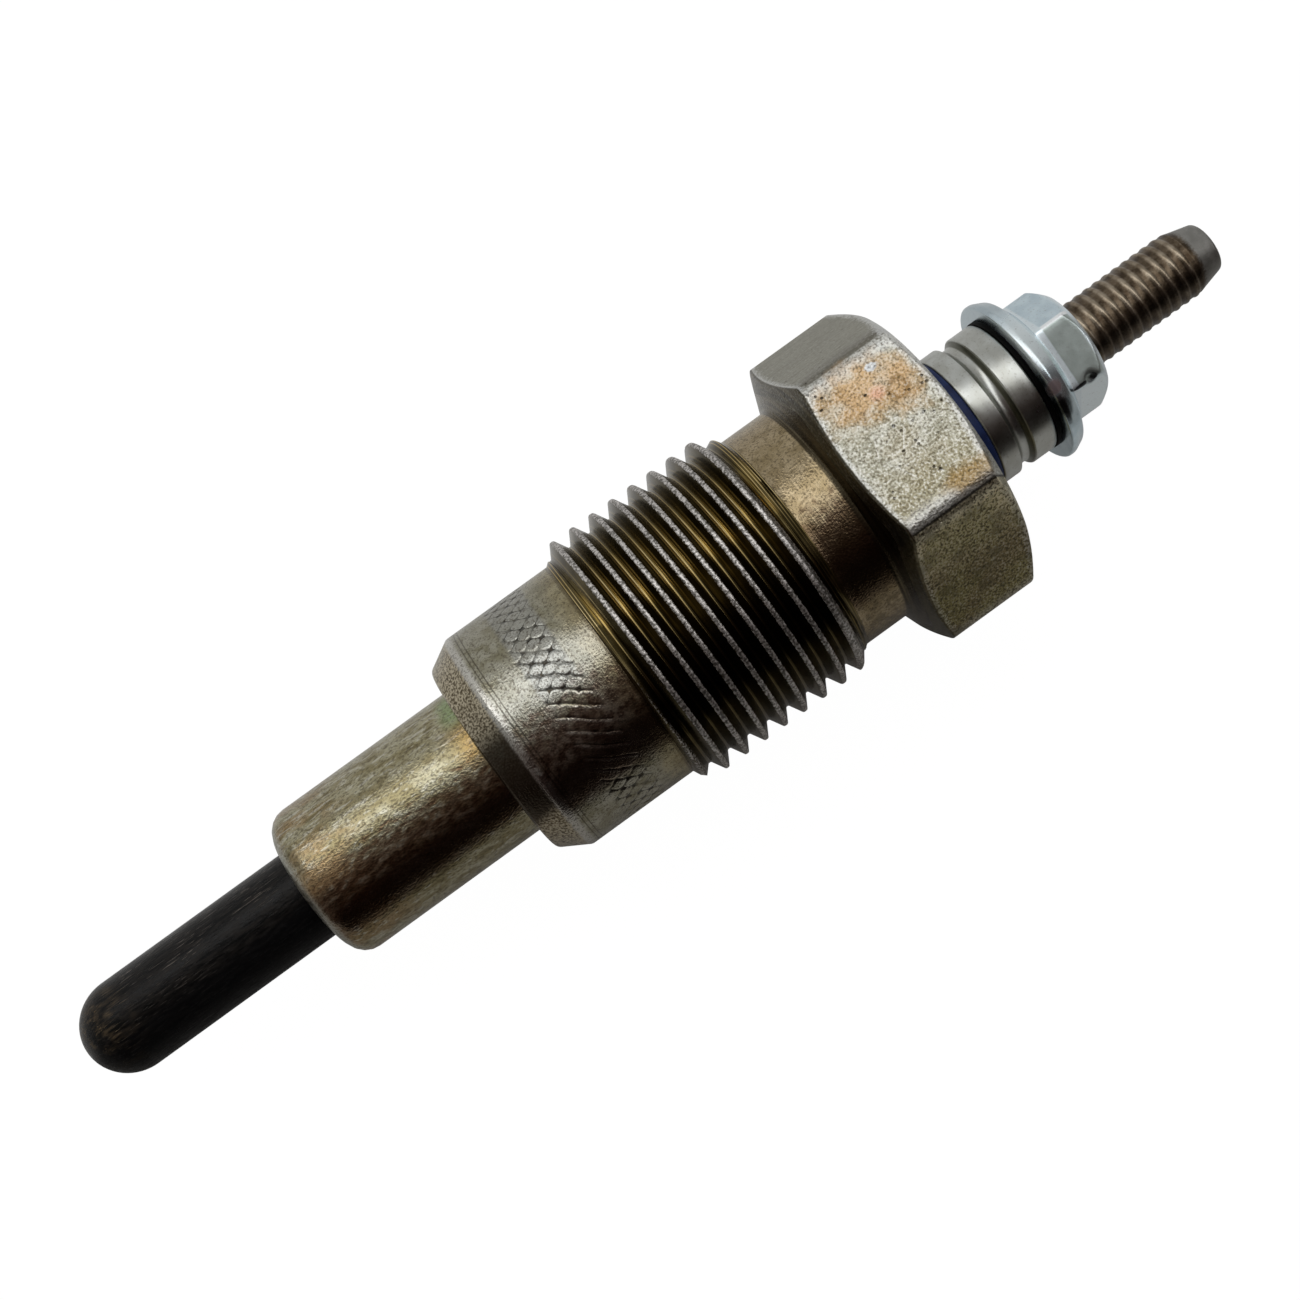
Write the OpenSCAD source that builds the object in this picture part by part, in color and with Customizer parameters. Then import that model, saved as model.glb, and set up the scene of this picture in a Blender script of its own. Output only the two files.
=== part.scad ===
// Sheathed diesel glow plug with an M18 x 1.5 shell.
// The plug lies along X: the heater tip points to -X and the terminal stud to +X.
// The origin is on the axis, in the plane where the nose sleeve meets the cone seat.

/* [Glow tube] */
// Outside diameter of the heater tube
tube_d = 6.1; // [5.6:0.1:6.8]
// Wall of the heater tube
tube_wall = 0.6; // [0.5:0.05:0.8]
// Length of the tube that stands out of the nose
tube_exposed = 16.95; // [14:0.05:24]
// Length of the tube behind the seat plane, inside the shell
tube_inside = 9; // [7:0.5:11]

/* [Coils] */
// Diameter of the coil wire
wire_d = 0.44; // [0.36:0.02:0.5]
// Diameter of both coils, measured between wire centres
coil_d = 2.9; // [2.6:0.1:3.1]
// Turns of the heating coil
heating_turns = 9; // [7:1:10]
// Pitch of the heating coil
heating_pitch = 0.95; // [0.8:0.05:1.1]
// Turns of the control coil
control_turns = 10; // [8:1:11]
// Pitch of the control coil
control_pitch = 0.8; // [0.7:0.05:0.9]
// Length of the spigot that the control coil is slipped over
spigot_len = 1.8; // [1.2:0.2:2.4]

/* [Nose and seat] */
// Diameter of the nose sleeve
nose_d = 10.4; // [9.8:0.1:11]
// Length of the nose sleeve in front of the seat plane
nose_len = 13.85; // [11:0.05:16]
// Radius of the rounded front edge of the nose
nose_round = 1.4; // [0.6:0.1:1.6]
// Diameter at the small end of the cone seat
seat_d = 13.45; // [12.4:0.05:14]
// Radius of the rounded edge at the small end of the cone seat
seat_round = 0.5; // [0.3:0.05:0.8]
// Angle between the cone seat and the axis
seat_angle = 30; // [25:1:45]
// Diameter of the smooth land between seat and thread
land_d = 15.7; // [15:0.1:15.9]

/* [Main thread] */
// Outside diameter of the main thread
thread_d = 17.9; // [17.6:0.05:18]
// Pitch of the main thread
thread_pitch = 1.5; // [1.25:0.25:1.5]
// Radial depth of the main thread
thread_depth = 0.92; // [0.7:0.02:0.94]
// Distance from the seat plane to the start of the thread
thread_start = 9.65; // [8:0.05:12]
// Number of full ridges on the thread
thread_ridges = 8; // [5:1:12]
// Length of the run-out at each end, up to the nearest full ridge
run_out_len = 1.5; // [1.5:0.05:2]
// Height of the half-cut ridge in each run-out
run_out_h = 0.4; // [0.2:0.05:0.45]

/* [Neck and hexagon] */
// Diameter of the plain neck behind the thread
neck_d = 15.6; // [15:0.1:16]
// Length of the neck, from the thread to the hexagon
neck_len = 3.2; // [1.6:0.05:5]
// Fillet between the neck and the hexagon
neck_fillet = 0.4; // [0.2:0.1:0.8]
// Width of the hexagon across its flats
hex_af = 19; // [18:0.5:22]
// Diameter that the corners of the hexagon are turned to
hex_corner_d = 21.45; // [20.4:0.05:21.8]
// Length of the hexagon along the axis, between its end cones
hex_len = 8.1; // [6:0.1:12]
// Lean of the front face of the hexagon
hex_front_angle = 22; // [15:1:30]
// Angle of the chamfer at the rear of the hexagon
hex_rear_angle = 28; // [15:1:32]
// Diameter of the flat rear face of the hexagon
hex_face_d = 18.4; // [17:0.1:18.8]

/* [Bore of the shell] */
// Length of the press fit round the tube behind the seat plane
press_len = 5; // [3:0.5:6.5]
// Diameter of the bore between the press fit and the seal pocket
bore_d = 7.2; // [6.9:0.1:7.6]
// Diameter of the seal pocket at the rear of the shell
pocket_d = 8.4; // [8:0.1:9]
// Depth of the seal pocket below the rear face
pocket_len = 5.2; // [4.4:0.2:6]

/* [Terminal] */
// Outside diameter of the stud thread
stud_d = 4.54; // [4.3:0.02:4.8]
// Pitch of the stud thread
stud_pitch = 0.75; // [0.7:0.05:0.8]
// Radial depth of the stud thread
stud_depth = 0.32; // [0.2:0.02:0.44]
// Length of the stud beyond the nut, with its plain tip
stud_free = 10.5; // [9:0.1:15]
// Length of the tapered plain tip of the stud
stud_tip_len = 2.1; // [1.5:0.1:3]
// Diameter at the end of the taper
stud_tip_d = 3.4; // [2.6:0.1:3.6]
// Radius of the rounded edge at the end of the stud
stud_tip_round = 0.25; // [0.2:0.05:0.9]
// Diameter of the rod, which is also the middle diameter of the stud's thread
rod_d = 4.2; // [4:0.05:4.25]
// Diameter of the pin inside the tube
pin_d = 3; // [2.8:0.1:3.2]

/* [Bush, seals and collar] */
// Diameter of the blue flange behind the hexagon
bush_d = 9.5; // [9:0.1:10]
// Thickness of that flange
bush_flange = 1.6; // [1.2:0.05:2]
// Thickness of the O-ring that seals the shell
shell_seal_d = 2; // [1.6:0.1:2.1]
// Length of the plug that closes the tube
tube_seal_len = 3; // [2:0.2:4]
// Diameter of the collar
collar_d = 9.42; // [9:0.02:10]
// Length of the collar
collar_len = 4.1; // [3.6:0.1:5]
// Length of the first ring of the collar, up to its groove
collar_ring = 1.35; // [1.2:0.05:1.8]
// Width of the hollow groove round the collar
groove_w = 1.1; // [0.8:0.05:1.3]
// Depth of that groove
groove_depth = 0.4; // [0.3:0.05:0.5]
// Diameter of the black washer
washer_d = 9.5; // [9:0.1:10]
// Thickness of the black washer
washer_t = 0.35; // [0.25:0.05:0.6]

/* [Flange nut] */
// Width of the nut across its flats
nut_af = 7.55; // [7:0.05:8]
// Height of the nut with its flange
nut_h = 4.45; // [3.8:0.05:5.2]
// Diameter of the flange
flange_d = 11.44; // [10.4:0.02:12]
// Thickness of the flange at its rim
flange_rim = 0.85; // [0.7:0.05:1.1]
// Height of the flange with its cone, where the nut's flats start
flange_top = 1.6; // [1.4:0.1:2.4]
// Diameter of the nut's rear face as a share of its width across the flats
nut_face_share = 0.95; // [0.9:0.01:0.98]
// Turn of the nut's flats against those of the shell
nut_turn = 15.7; // [0:0.1:60]

/* [Clearances] */
// Gap of pressed and packed pieces
press_gap = 0.01; // [0.01:0.01:0.03]
// Gap of pieces that slide over the stud or into the shell
slide_gap = 0.04; // [0.02:0.01:0.08]

/* [Hidden] */
$fn = 96;

eps = 0.01;
overshoot = 1;
full_turn = 360;
corner_angle = 30;
thread_angle = 30;
nut_chamfer_angle = 30;
chamfer = 0.3;
fine_chamfer = 0.15;
weld_gap = 0.1;
coil_steps = 14;

// Places along the axis
nose_x = -nose_len;
tip_x = nose_x - tube_exposed;
seat_end_x = (land_d - seat_d) / 2 / tan(seat_angle);
thread_first_x = thread_start + run_out_len;
thread_last_x = thread_first_x + (thread_ridges - 1) * thread_pitch;
thread_end_x = thread_last_x + run_out_len;
hex_x = thread_end_x + neck_len;
hex_end_x = hex_x + hex_len;
pocket_x = hex_end_x - pocket_len;
collar_x = hex_end_x + bush_flange;
washer_x = collar_x + collar_len;
nut_x = washer_x + washer_t;
nut_end_x = nut_x + nut_h;
stud_end_x = nut_end_x + stud_free;

// Inside of the tube
tube_bore_d = tube_d - 2 * tube_wall;
dome_x = tip_x + tube_d / 2;
coil_x = tip_x + tube_wall + wire_d / 2 + weld_gap;
control_x = coil_x + heating_turns * heating_pitch;
coil_end_x = control_x + control_turns * control_pitch;
spigot_x = coil_end_x - spigot_len;
spigot_d = (coil_d - wire_d) * cos(full_turn / 2 / coil_steps) - 2 * press_gap;
pin_x = coil_end_x + wire_d / 2 + press_gap;
seal_x = tube_inside - tube_seal_len;

// Turns a shape built up along Z so that it lies along X
module along_axis(x = 0) {
    translate([x, 0, 0])
        rotate([0, 90, 0])
            children();
}

// Plain round length from x0 to x1 along Z, before it is turned
module round_bar(d, x0, x1) {
    translate([0, 0, x0])
        cylinder(d = d, h = x1 - x0);
}

// Ring with a square section
module washer_ring(d, hole, h) {
    difference() {
        cylinder(d = d, h = h);
        translate([0, 0, -eps])
            cylinder(d = hole, h = h + 2 * eps);
    }
}

// Profile of a rod with a rounded, domed front end at height 0
module domed_profile(d, len) {
    translate([0, d / 2])
        square([d / 2, len - d / 2]);
    intersection() {
        translate([0, d / 2])
            circle(d = d);
        square([d / 2, d / 2]);
    }
}

// Corner that is cut away so that an outside edge becomes round
module round_off(r) {
    difference() {
        square([r + eps, r + eps]);
        circle(r = r);
    }
}

// Profile of a bar whose ends are chamfered, from height 0 upwards
module chamfered_profile(d, len, edge) {
    polygon([
        [0, 0],
        [d / 2 - edge, 0],
        [d / 2, edge],
        [d / 2, len - edge],
        [d / 2 - edge, len],
        [0, len]
    ]);
}

// Half the width of a thread ridge at its foot
function half_base(pitch, h) = pitch / 16 + h * tan(thread_angle);

// Profile of a thread from x0 to x1: one ridge for each [place, height], with flat crests
module thread_profile(root_d, pitch, ridges, x0, x1) {
    root_r = root_d / 2;
    half_crest = half_base(pitch, 0);
    function ridge(x, h) = [
        [root_r, x - half_base(pitch, h)],
        [root_r + h, x - half_crest],
        [root_r + h, x + half_crest],
        [root_r, x + half_base(pitch, h)]
    ];
    polygon([
        [0, x0],
        [root_r, x0],
        for (place = ridges) each ridge(place[0], place[1]),
        [root_r, x1],
        [0, x1]
    ]);
}

// Points round one section of a coiled wire, at angle a and height z
function wire_section(r, a, z, wire_r, sides) = [
    for (k = [0 : sides - 1])
        let (t = full_turn * k / sides, rr = r + wire_r * cos(t))
            [rr * cos(a), rr * sin(a), z + wire_r * sin(t)]
];

// Wire coiled along Z; its first lead_turns wind out from the axis
module coil(pitch, turns, section_d, x0, lead_turns) {
    sides = 6;
    n = turns * coil_steps;
    function lead(i) = lead_turns == 0 ? 1 : min(1, i / coil_steps / lead_turns);
    function wire_place(i) = wire_d + (coil_d / 2 - wire_d) * lead(i);
    points = [
        for (i = [0 : n])
            let (turn = i / coil_steps)
                each wire_section(wire_place(i), full_turn * turn, x0 + pitch * turn, section_d / 2, sides)
    ];
    sides_faces = [
        for (i = [0 : n - 1])
            for (k = [0 : sides - 1])
                let (a = i * sides + k, b = i * sides + (k + 1) % sides)
                    each [[a, b, a + sides], [b, b + sides, a + sides]]
    ];
    front = [for (k = [0 : sides - 1]) sides - 1 - k];
    rear = [for (k = [0 : sides - 1]) n * sides + k];
    polyhedron(points, concat([front], sides_faces, [rear]));
}

// Profile of the neck with the fillet that carries it into the leaning face of the hexagon
module neck_profile() {
    centre_r = neck_d / 2 + neck_fillet;
    centre_x = hex_x - neck_fillet * (1 - sin(hex_front_angle)) / cos(hex_front_angle);
    touch_r = centre_r - neck_fillet * sin(hex_front_angle);
    touch_x = centre_x + neck_fillet * cos(hex_front_angle);
    difference() {
        polygon([
            [0, thread_end_x],
            [neck_d / 2, thread_end_x],
            [neck_d / 2, centre_x],
            [centre_r, centre_x],
            [touch_r, touch_x],
            [0, touch_x]
        ]);
        translate([centre_r, centre_x])
            circle(r = neck_fillet);
    }
}

// Profile of the cone seat, with its rounded small end, and of the land behind it
module seat_profile() {
    centre_r = seat_d / 2 - seat_round * (1 - sin(seat_angle)) / cos(seat_angle);
    touch_r = centre_r + seat_round * cos(seat_angle);
    touch_x = seat_round * (1 - sin(seat_angle));
    polygon([
        [0, 0],
        [centre_r, 0],
        [touch_r, touch_x],
        [land_d / 2, seat_end_x],
        [land_d / 2, thread_start],
        [0, thread_start]
    ]);
    translate([centre_r, seat_round])
        circle(r = seat_round);
}

// Main thread: full ridges, and a half-cut ridge in the run-out at each end
module main_thread() {
    half_cut = half_base(thread_pitch, run_out_h);
    full = [for (i = [0 : thread_ridges - 1]) [thread_first_x + i * thread_pitch, thread_depth]];
    ridges = [
        [thread_start + half_cut, run_out_h],
        each full,
        [thread_end_x - half_cut, run_out_h]
    ];
    rotate_extrude()
        thread_profile(thread_d - 2 * thread_depth, thread_pitch, ridges, thread_start, thread_end_x);
}

// Outside of the shell in front of the hexagon
module turned_front() {
    rotate_extrude()
        difference() {
            union() {
                translate([0, nose_x])
                    square([nose_d / 2, nose_len]);
                seat_profile();
                neck_profile();
            }
            translate([nose_d / 2 - nose_round, nose_x + nose_round])
                mirror([0, 1])
                    round_off(nose_round);
        }
    main_thread();
}

// Hexagon whose corners are turned down and whose ends are coned
module hexagon() {
    corner_r = hex_corner_d / 2;
    front_rise = (corner_r - neck_d / 2) * tan(hex_front_angle);
    rear_rise = (corner_r - hex_face_d / 2) * tan(hex_rear_angle);
    intersection() {
        translate([0, 0, hex_x - overshoot])
            rotate(corner_angle)
                cylinder(d = hex_af / cos(corner_angle), h = hex_len + 2 * overshoot, $fn = 6);
        rotate_extrude()
            polygon([
                [0, hex_x],
                [neck_d / 2, hex_x],
                [corner_r, hex_x + front_rise],
                [corner_r, hex_end_x - rear_rise],
                [hex_face_d / 2, hex_end_x],
                [0, hex_end_x]
            ]);
    }
}

// Stepped bore for tube, rod, seal and bush
module shell_bore() {
    round_bar(tube_d + 2 * press_gap, nose_x - overshoot, press_len);
    round_bar(bore_d, press_len - eps, pocket_x + eps);
    round_bar(pocket_d, pocket_x, hex_end_x + overshoot);
}

// Turned steel shell: nose, seat, land, thread, neck and hexagon
module body_shell() {
    color("#8d855f")
        along_axis()
            difference() {
                union() {
                    turned_front();
                    hexagon();
                }
                shell_bore();
            }
}

// Heater tube, closed at the tip
module glow_tube() {
    color("#1d1b1a")
        along_axis(tip_x)
            rotate_extrude()
                difference() {
                    domed_profile(tube_d, tube_inside - tip_x);
                    translate([0, tube_wall])
                        domed_profile(tube_bore_d, tube_inside - tip_x);
                }
}

// Coil at the tip, joined to the tube at its front end
module heating_coil() {
    color("#b7a58a")
        along_axis()
            coil(heating_pitch, heating_turns, wire_d, coil_x, 1);
}

// Coil between the heating coil and the centre rod
module control_coil() {
    color("#c9c4b8")
        along_axis()
            coil(control_pitch, control_turns, wire_d, control_x, 0);
}

// Packed powder round the coils and the pin, up to the seal
module magnesia_fill() {
    fill_d = tube_bore_d - 2 * press_gap;
    channel_d = wire_d + 2 * press_gap;
    color("#e9e6dc")
        along_axis()
            difference() {
                translate([0, 0, tip_x + tube_wall + press_gap])
                    rotate_extrude()
                        domed_profile(fill_d, seal_x - tip_x - tube_wall - press_gap);
                coil(heating_pitch, heating_turns, channel_d, coil_x, 1);
                coil(control_pitch, control_turns, channel_d, control_x, 0);
                round_bar(coil_d, spigot_x - press_gap, pin_x);
                round_bar(pin_d + 2 * press_gap, pin_x - press_gap, seal_x + overshoot);
            }
}

// Plug in the rear end of the tube, round the pin
module tube_seal() {
    color("#6b2f22")
        along_axis(seal_x)
            washer_ring(tube_bore_d - 2 * press_gap, pin_d + 2 * press_gap, tube_seal_len);
}

// Centre rod: spigot, pin, rod and threaded terminal end in one piece.
// Inside the collar and the nut its thread is drawn plain, at its middle diameter.
module terminal_stud() {
    rod_x = tube_inside + chamfer;
    tip_start_x = stud_end_x - stud_tip_len;
    turns = floor((tip_start_x - nut_end_x) / stud_pitch);
    ridges = [for (i = [0 : turns - 1]) [nut_end_x + (i + 0.5) * stud_pitch, stud_depth]];
    stud_thread_x = nut_end_x + turns * stud_pitch;
    root_d = stud_d - 2 * stud_depth;
    tip_r = stud_tip_d / 2;
    color("#6a625a")
        along_axis() {
            round_bar(spigot_d, spigot_x, pin_x + eps);
            round_bar(pin_d, pin_x, rod_x + eps);
            round_bar(rod_d, rod_x, nut_end_x + eps);
            rotate_extrude()
                thread_profile(root_d, stud_pitch, ridges, nut_end_x, stud_thread_x);
            rotate_extrude()
                difference() {
                    polygon([
                        [0, stud_thread_x],
                        [root_d / 2, stud_thread_x],
                        [stud_d / 2, tip_start_x],
                        [tip_r, stud_end_x - stud_tip_round],
                        [tip_r, stud_end_x],
                        [0, stud_end_x]
                    ]);
                    translate([tip_r - stud_tip_round, stud_end_x - stud_tip_round])
                        round_off(stud_tip_round);
                }
        }
}

// O-ring at the bottom of the seal pocket
module shell_seal() {
    ring_d = (pocket_d + rod_d) / 2;
    color("#161616")
        along_axis(pocket_x + shell_seal_d / 2)
            rotate_extrude()
                translate([ring_d / 2, 0])
                    circle(d = shell_seal_d);
}

// Blue insulator: barrel in the seal pocket and flange on the hexagon
module insulating_bush() {
    barrel_x = pocket_x + shell_seal_d;
    color("#1c2a63")
        along_axis()
            difference() {
                union() {
                    round_bar(pocket_d - 2 * slide_gap, barrel_x, hex_end_x + eps);
                    translate([0, 0, hex_end_x])
                        rotate_extrude()
                            chamfered_profile(bush_d, bush_flange, fine_chamfer);
                }
                round_bar(stud_d + 2 * slide_gap, barrel_x - overshoot, collar_x + overshoot);
            }
}

// Round collar nut with a hollow groove round it
module terminal_collar() {
    groove_x = collar_ring + groove_w / 2;
    groove_r = (groove_w * groove_w / 4 + groove_depth * groove_depth) / 2 / groove_depth;
    color("#a9a49a")
        along_axis(collar_x)
            difference() {
                rotate_extrude()
                    difference() {
                        chamfered_profile(collar_d, collar_len, fine_chamfer);
                        translate([collar_d / 2 + groove_r - groove_depth, groove_x])
                            circle(r = groove_r);
                    }
                round_bar(rod_d + 2 * slide_gap, -overshoot, collar_len + overshoot);
            }
}

// Thin black washer between collar and nut
module terminal_washer() {
    color("#141414")
        along_axis(washer_x)
            washer_ring(washer_d, stud_d + 2 * slide_gap, washer_t);
}

// Hexagon nut with a round flange, whose cone ends in a small landing round the flats
module flange_nut() {
    corner_d = nut_af / cos(corner_angle);
    face_d = nut_af * nut_face_share;
    color("#b9c2c8")
        along_axis(nut_x)
            difference() {
                union() {
                    rotate_extrude()
                        polygon([
                            [0, 0],
                            [flange_d / 2 - fine_chamfer, 0],
                            [flange_d / 2, fine_chamfer],
                            [flange_d / 2, flange_rim - fine_chamfer],
                            [flange_d / 2 - fine_chamfer, flange_rim],
                            [corner_d / 2, flange_top],
                            [0, flange_top]
                        ]);
                    intersection() {
                        rotate(corner_angle + nut_turn)
                            cylinder(d = corner_d, h = nut_h, $fn = 6);
                        rotate_extrude()
                            polygon([
                                [0, 0],
                                [corner_d / 2, 0],
                                [corner_d / 2, nut_h - (corner_d - face_d) / 2 * tan(nut_chamfer_angle)],
                                [face_d / 2, nut_h],
                                [0, nut_h]
                            ]);
                    }
                }
                round_bar(rod_d + 2 * slide_gap, -overshoot, nut_h + overshoot);
            }
}

body_shell();
glow_tube();
heating_coil();
control_coil();
magnesia_fill();
tube_seal();
terminal_stud();
shell_seal();
insulating_bush();
terminal_collar();
terminal_washer();
flange_nut();
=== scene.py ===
# %% [markdown]
# # A used diesel glow plug
# The packed CAD model gives every piece its place and size, so this lesson never moves anything.
# It dresses the plug: fine threads, a knurled band, worn edges and the stains of years in an engine.
# Lengths are written in millimetres, and `MM` turns them into Blender's metres at the last moment.

# %% Load the frame
import math
from functools import reduce

import bmesh
import bpy
import numpy as np
from mathutils import Matrix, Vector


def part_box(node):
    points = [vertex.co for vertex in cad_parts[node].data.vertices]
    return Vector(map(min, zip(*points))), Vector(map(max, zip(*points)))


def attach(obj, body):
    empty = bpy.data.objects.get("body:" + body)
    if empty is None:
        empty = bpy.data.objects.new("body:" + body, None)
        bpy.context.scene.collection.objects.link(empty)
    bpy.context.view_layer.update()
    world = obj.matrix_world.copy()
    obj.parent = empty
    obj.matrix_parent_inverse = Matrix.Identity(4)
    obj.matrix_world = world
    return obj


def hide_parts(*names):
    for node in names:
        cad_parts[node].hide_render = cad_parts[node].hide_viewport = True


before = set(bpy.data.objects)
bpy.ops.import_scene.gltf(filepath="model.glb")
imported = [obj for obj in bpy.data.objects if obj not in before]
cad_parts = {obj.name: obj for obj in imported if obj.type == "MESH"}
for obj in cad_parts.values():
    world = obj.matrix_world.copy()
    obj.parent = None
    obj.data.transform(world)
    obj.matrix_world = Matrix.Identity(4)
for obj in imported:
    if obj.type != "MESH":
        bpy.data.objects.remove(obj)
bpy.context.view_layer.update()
MM = 0.001


def span(node):
    """First x, last x and outside radius of a CAD node, in millimetres."""
    low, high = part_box(node)
    return low.x / MM, high.x / MM, high.z / MM


print("CAD nodes:", sorted(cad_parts))

# %% [markdown]
# ## Where the photographer stood
# The plug was shot from almost straight above, from about a hand's width, and turned in the picture.
# The camera is written with three directions: along the plug, out of the table towards the lens,
# and down the straightened picture. Lean, tilt and roll then follow as plain sines and cosines.

# %% Camera
IMAGE_PX = 1300
FOCAL_PX = 1870.5
CAMERA_FOOT_X = 7.8
CAMERA_DISTANCE = 117.2
CAMERA_DROP = 0.13
LEAN_DEGREES = 10.3
LEAN = math.radians(LEAN_DEGREES)
TILT = math.radians(2.0)
ROLL = math.radians(35.85)

along = np.array([1.0, 0.0, 0.0])
outward = np.array([0.0, -math.sin(LEAN), math.cos(LEAN)])
downward = np.array([0.0, -math.cos(LEAN), -math.sin(LEAN)])
lens_place = CAMERA_FOOT_X * along + CAMERA_DISTANCE * outward + CAMERA_DROP * downward
backward = math.cos(TILT) * outward - math.sin(TILT) * along
level = math.cos(TILT) * along + math.sin(TILT) * outward
picture_right = math.cos(ROLL) * level + math.sin(ROLL) * downward
picture_up = math.sin(ROLL) * level - math.cos(ROLL) * downward

camera_data = bpy.data.cameras.new("photo_camera")
camera_data.sensor_fit = "HORIZONTAL"
camera_data.angle = 2 * math.atan(IMAGE_PX / 2 / FOCAL_PX)
camera_data.clip_start = MM
camera = bpy.data.objects.new("photo_camera", camera_data)
turn = Matrix(np.array([picture_right, picture_up, backward]).T.tolist())
camera.matrix_world = Matrix.Translation((lens_place * MM).tolist()) @ turn.to_4x4()
bpy.context.scene.collection.objects.link(camera)
bpy.context.scene.camera = camera
bpy.context.scene.view_settings.view_transform = "Standard"
print("lens", round(camera_data.lens, 1), "mm, at", [round(v, 1) for v in lens_place], "mm")

# %% [markdown]
# ## Sockets as numbers
# Shader maths gets hard to read as a net of nodes. This small class wraps one socket, so that
# `1 - mask * 0.5` adds the Math nodes by itself. Its `node` method makes any other node: settings
# first, because some of them change which sockets exist, then the values or links.


# %% The socket class
class Wire:
    """One output socket of a node tree, used like a number."""

    def __init__(self, tree, socket=None):
        self.tree = tree
        self.socket = socket

    def node(self, kind, settings=(), sockets=(), out=0):
        """Adds a node and returns one of its outputs."""
        made = self.tree.nodes.new(kind)
        for name, value in dict(settings).items():
            if name == "stops":
                self.set_stops(made.color_ramp, value)
            else:
                setattr(made, name, value)
        for key, value in dict(sockets).items():
            if isinstance(value, Wire):
                self.tree.links.new(value.socket, made.inputs[key])
            else:
                made.inputs[key].default_value = value
        return None if out is None else Wire(self.tree, made.outputs[out])

    @staticmethod
    def set_stops(ramp, stops):
        """Gives a colour ramp its (position, colour) stops."""
        while len(ramp.elements) < len(stops):
            ramp.elements.new(1.0)
        for element, (position, shade) in zip(ramp.elements, stops):
            element.position = position
            element.color = shade

    def math(self, operation, *others):
        return self.node("ShaderNodeMath", {"operation": operation}, dict(enumerate((self, *others))))

    def vector(self, operation, *others, out=0):
        sockets = dict(enumerate((self, *others)))
        return self.node("ShaderNodeVectorMath", {"operation": operation}, sockets, out)

    def reflected(self, operation, other):
        return self.node("ShaderNodeMath", {"operation": operation}, {0: other, 1: self})

    def __add__(self, other):
        return self.math("ADD", other)

    def __sub__(self, other):
        return self.math("SUBTRACT", other)

    def __rsub__(self, other):
        return self.reflected("SUBTRACT", other)

    def __mul__(self, other):
        return self.math("MULTIPLY", other)

    def __truediv__(self, other):
        return self.math("DIVIDE", other)

    def __rtruediv__(self, other):
        return self.reflected("DIVIDE", other)

    def __pow__(self, other):
        return self.math("POWER", other)

    __radd__ = __add__
    __rmul__ = __mul__

    def between(self, low, high):
        """0 at low and 1 at high, with a soft start and end; low may be the larger number."""
        return self.node(
            "ShaderNodeMapRange",
            {"interpolation_type": "SMOOTHSTEP"},
            {"Value": self, "From Min": low, "From Max": high},
        )

    def window(self, start, full, fade, end):
        """1 from full to fade, 0 outside start and end, and soft in between."""
        return self.between(start, full) * self.between(end, fade)

    def swing(self, width):
        """Noise from 0 to 1 moved and stretched, so that it swings round 0 over the given width."""
        return (self - 0.5) * width

    def max(self, other):
        return self.math("MAXIMUM", other)

    def min(self, other):
        return self.math("MINIMUM", other)


print("operators ready:", [name for name in vars(Wire) if name.startswith("__r")])

# %% [markdown]
# ## Texture helpers
# A finish is judged by its grain, so every pattern is measured in millimetres on the object itself.
# `Surface` gives the position and the lathe's own coordinates: distance along the axis, distance
# from it, and the height and side. Streaks are the same noise on a stretched position. A finish is
# then a recipe: a function that takes a surface and returns what feeds the shader.


# %% Texture helpers
def colour(red, green, blue):
    return (red, green, blue, 1.0)


def mix(mask, low, high):
    """Colour low where the mask is 0 and colour high where it is 1."""
    return mask.node("ShaderNodeMix", {"data_type": "RGBA"}, {0: mask, 6: low, 7: high}, out=2)


def relief(height, depth):
    """Normal of a surface with small ups and downs; depth is in millimetres."""
    return height.node("ShaderNodeBump", {}, {"Height": height, "Distance": depth * MM})


class Surface:
    """Position on the plug in millimetres, the coordinates of its lathe, and patterns in them."""

    def __init__(self, start):
        metres = start.node("ShaderNodeTexCoord", out="Object")
        self.place = start.node(
            "ShaderNodeVectorMath", {"operation": "SCALE"}, {0: metres, "Scale": 1 / MM}
        )
        self.x, self.y, self.z = (
            start.node("ShaderNodeSeparateXYZ", {}, {0: self.place}, out=axis) for axis in "XYZ"
        )
        self.radius = (self.y * self.y + self.z * self.z) ** 0.5

    def grain(self, size, detail, stretch=(1, 1, 1)):
        """Noise from 0 to 1 whose lumps are about size millimetres, drawn out where stretch is above 1."""
        spot = self.place.vector("MULTIPLY", tuple(1 / amount for amount in stretch))
        return spot.node("ShaderNodeTexNoise", {}, {"Vector": spot, "Scale": 1 / size, "Detail": detail})

    def pits(self, size):
        """Distance to the nearest of many scattered points that lie about size millimetres apart."""
        return self.place.node("ShaderNodeTexVoronoi", {}, {"Vector": self.place, "Scale": 1 / size})

    def near(self, centre, half_sizes):
        """Distance from a place, counted in half sizes: 1 is the rim of the spot."""
        scaled = self.place.vector("SUBTRACT", centre).vector("DIVIDE", half_sizes)
        return scaled.vector("LENGTH", out="Value")

    def spots(self, patches, ragged, outside, inside):
        """1 inside any of the patches (centre, half sizes), with a ragged edge."""
        masks = ((self.near(*patch) + ragged).between(outside, inside) for patch in patches)
        return reduce(Wire.max, masks)


def blank_tree(owner):
    """Clears the nodes of a material or a world, and gives the first wire to work from."""
    owner.use_nodes = True
    owner.node_tree.nodes.clear()
    return Wire(owner.node_tree)


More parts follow.
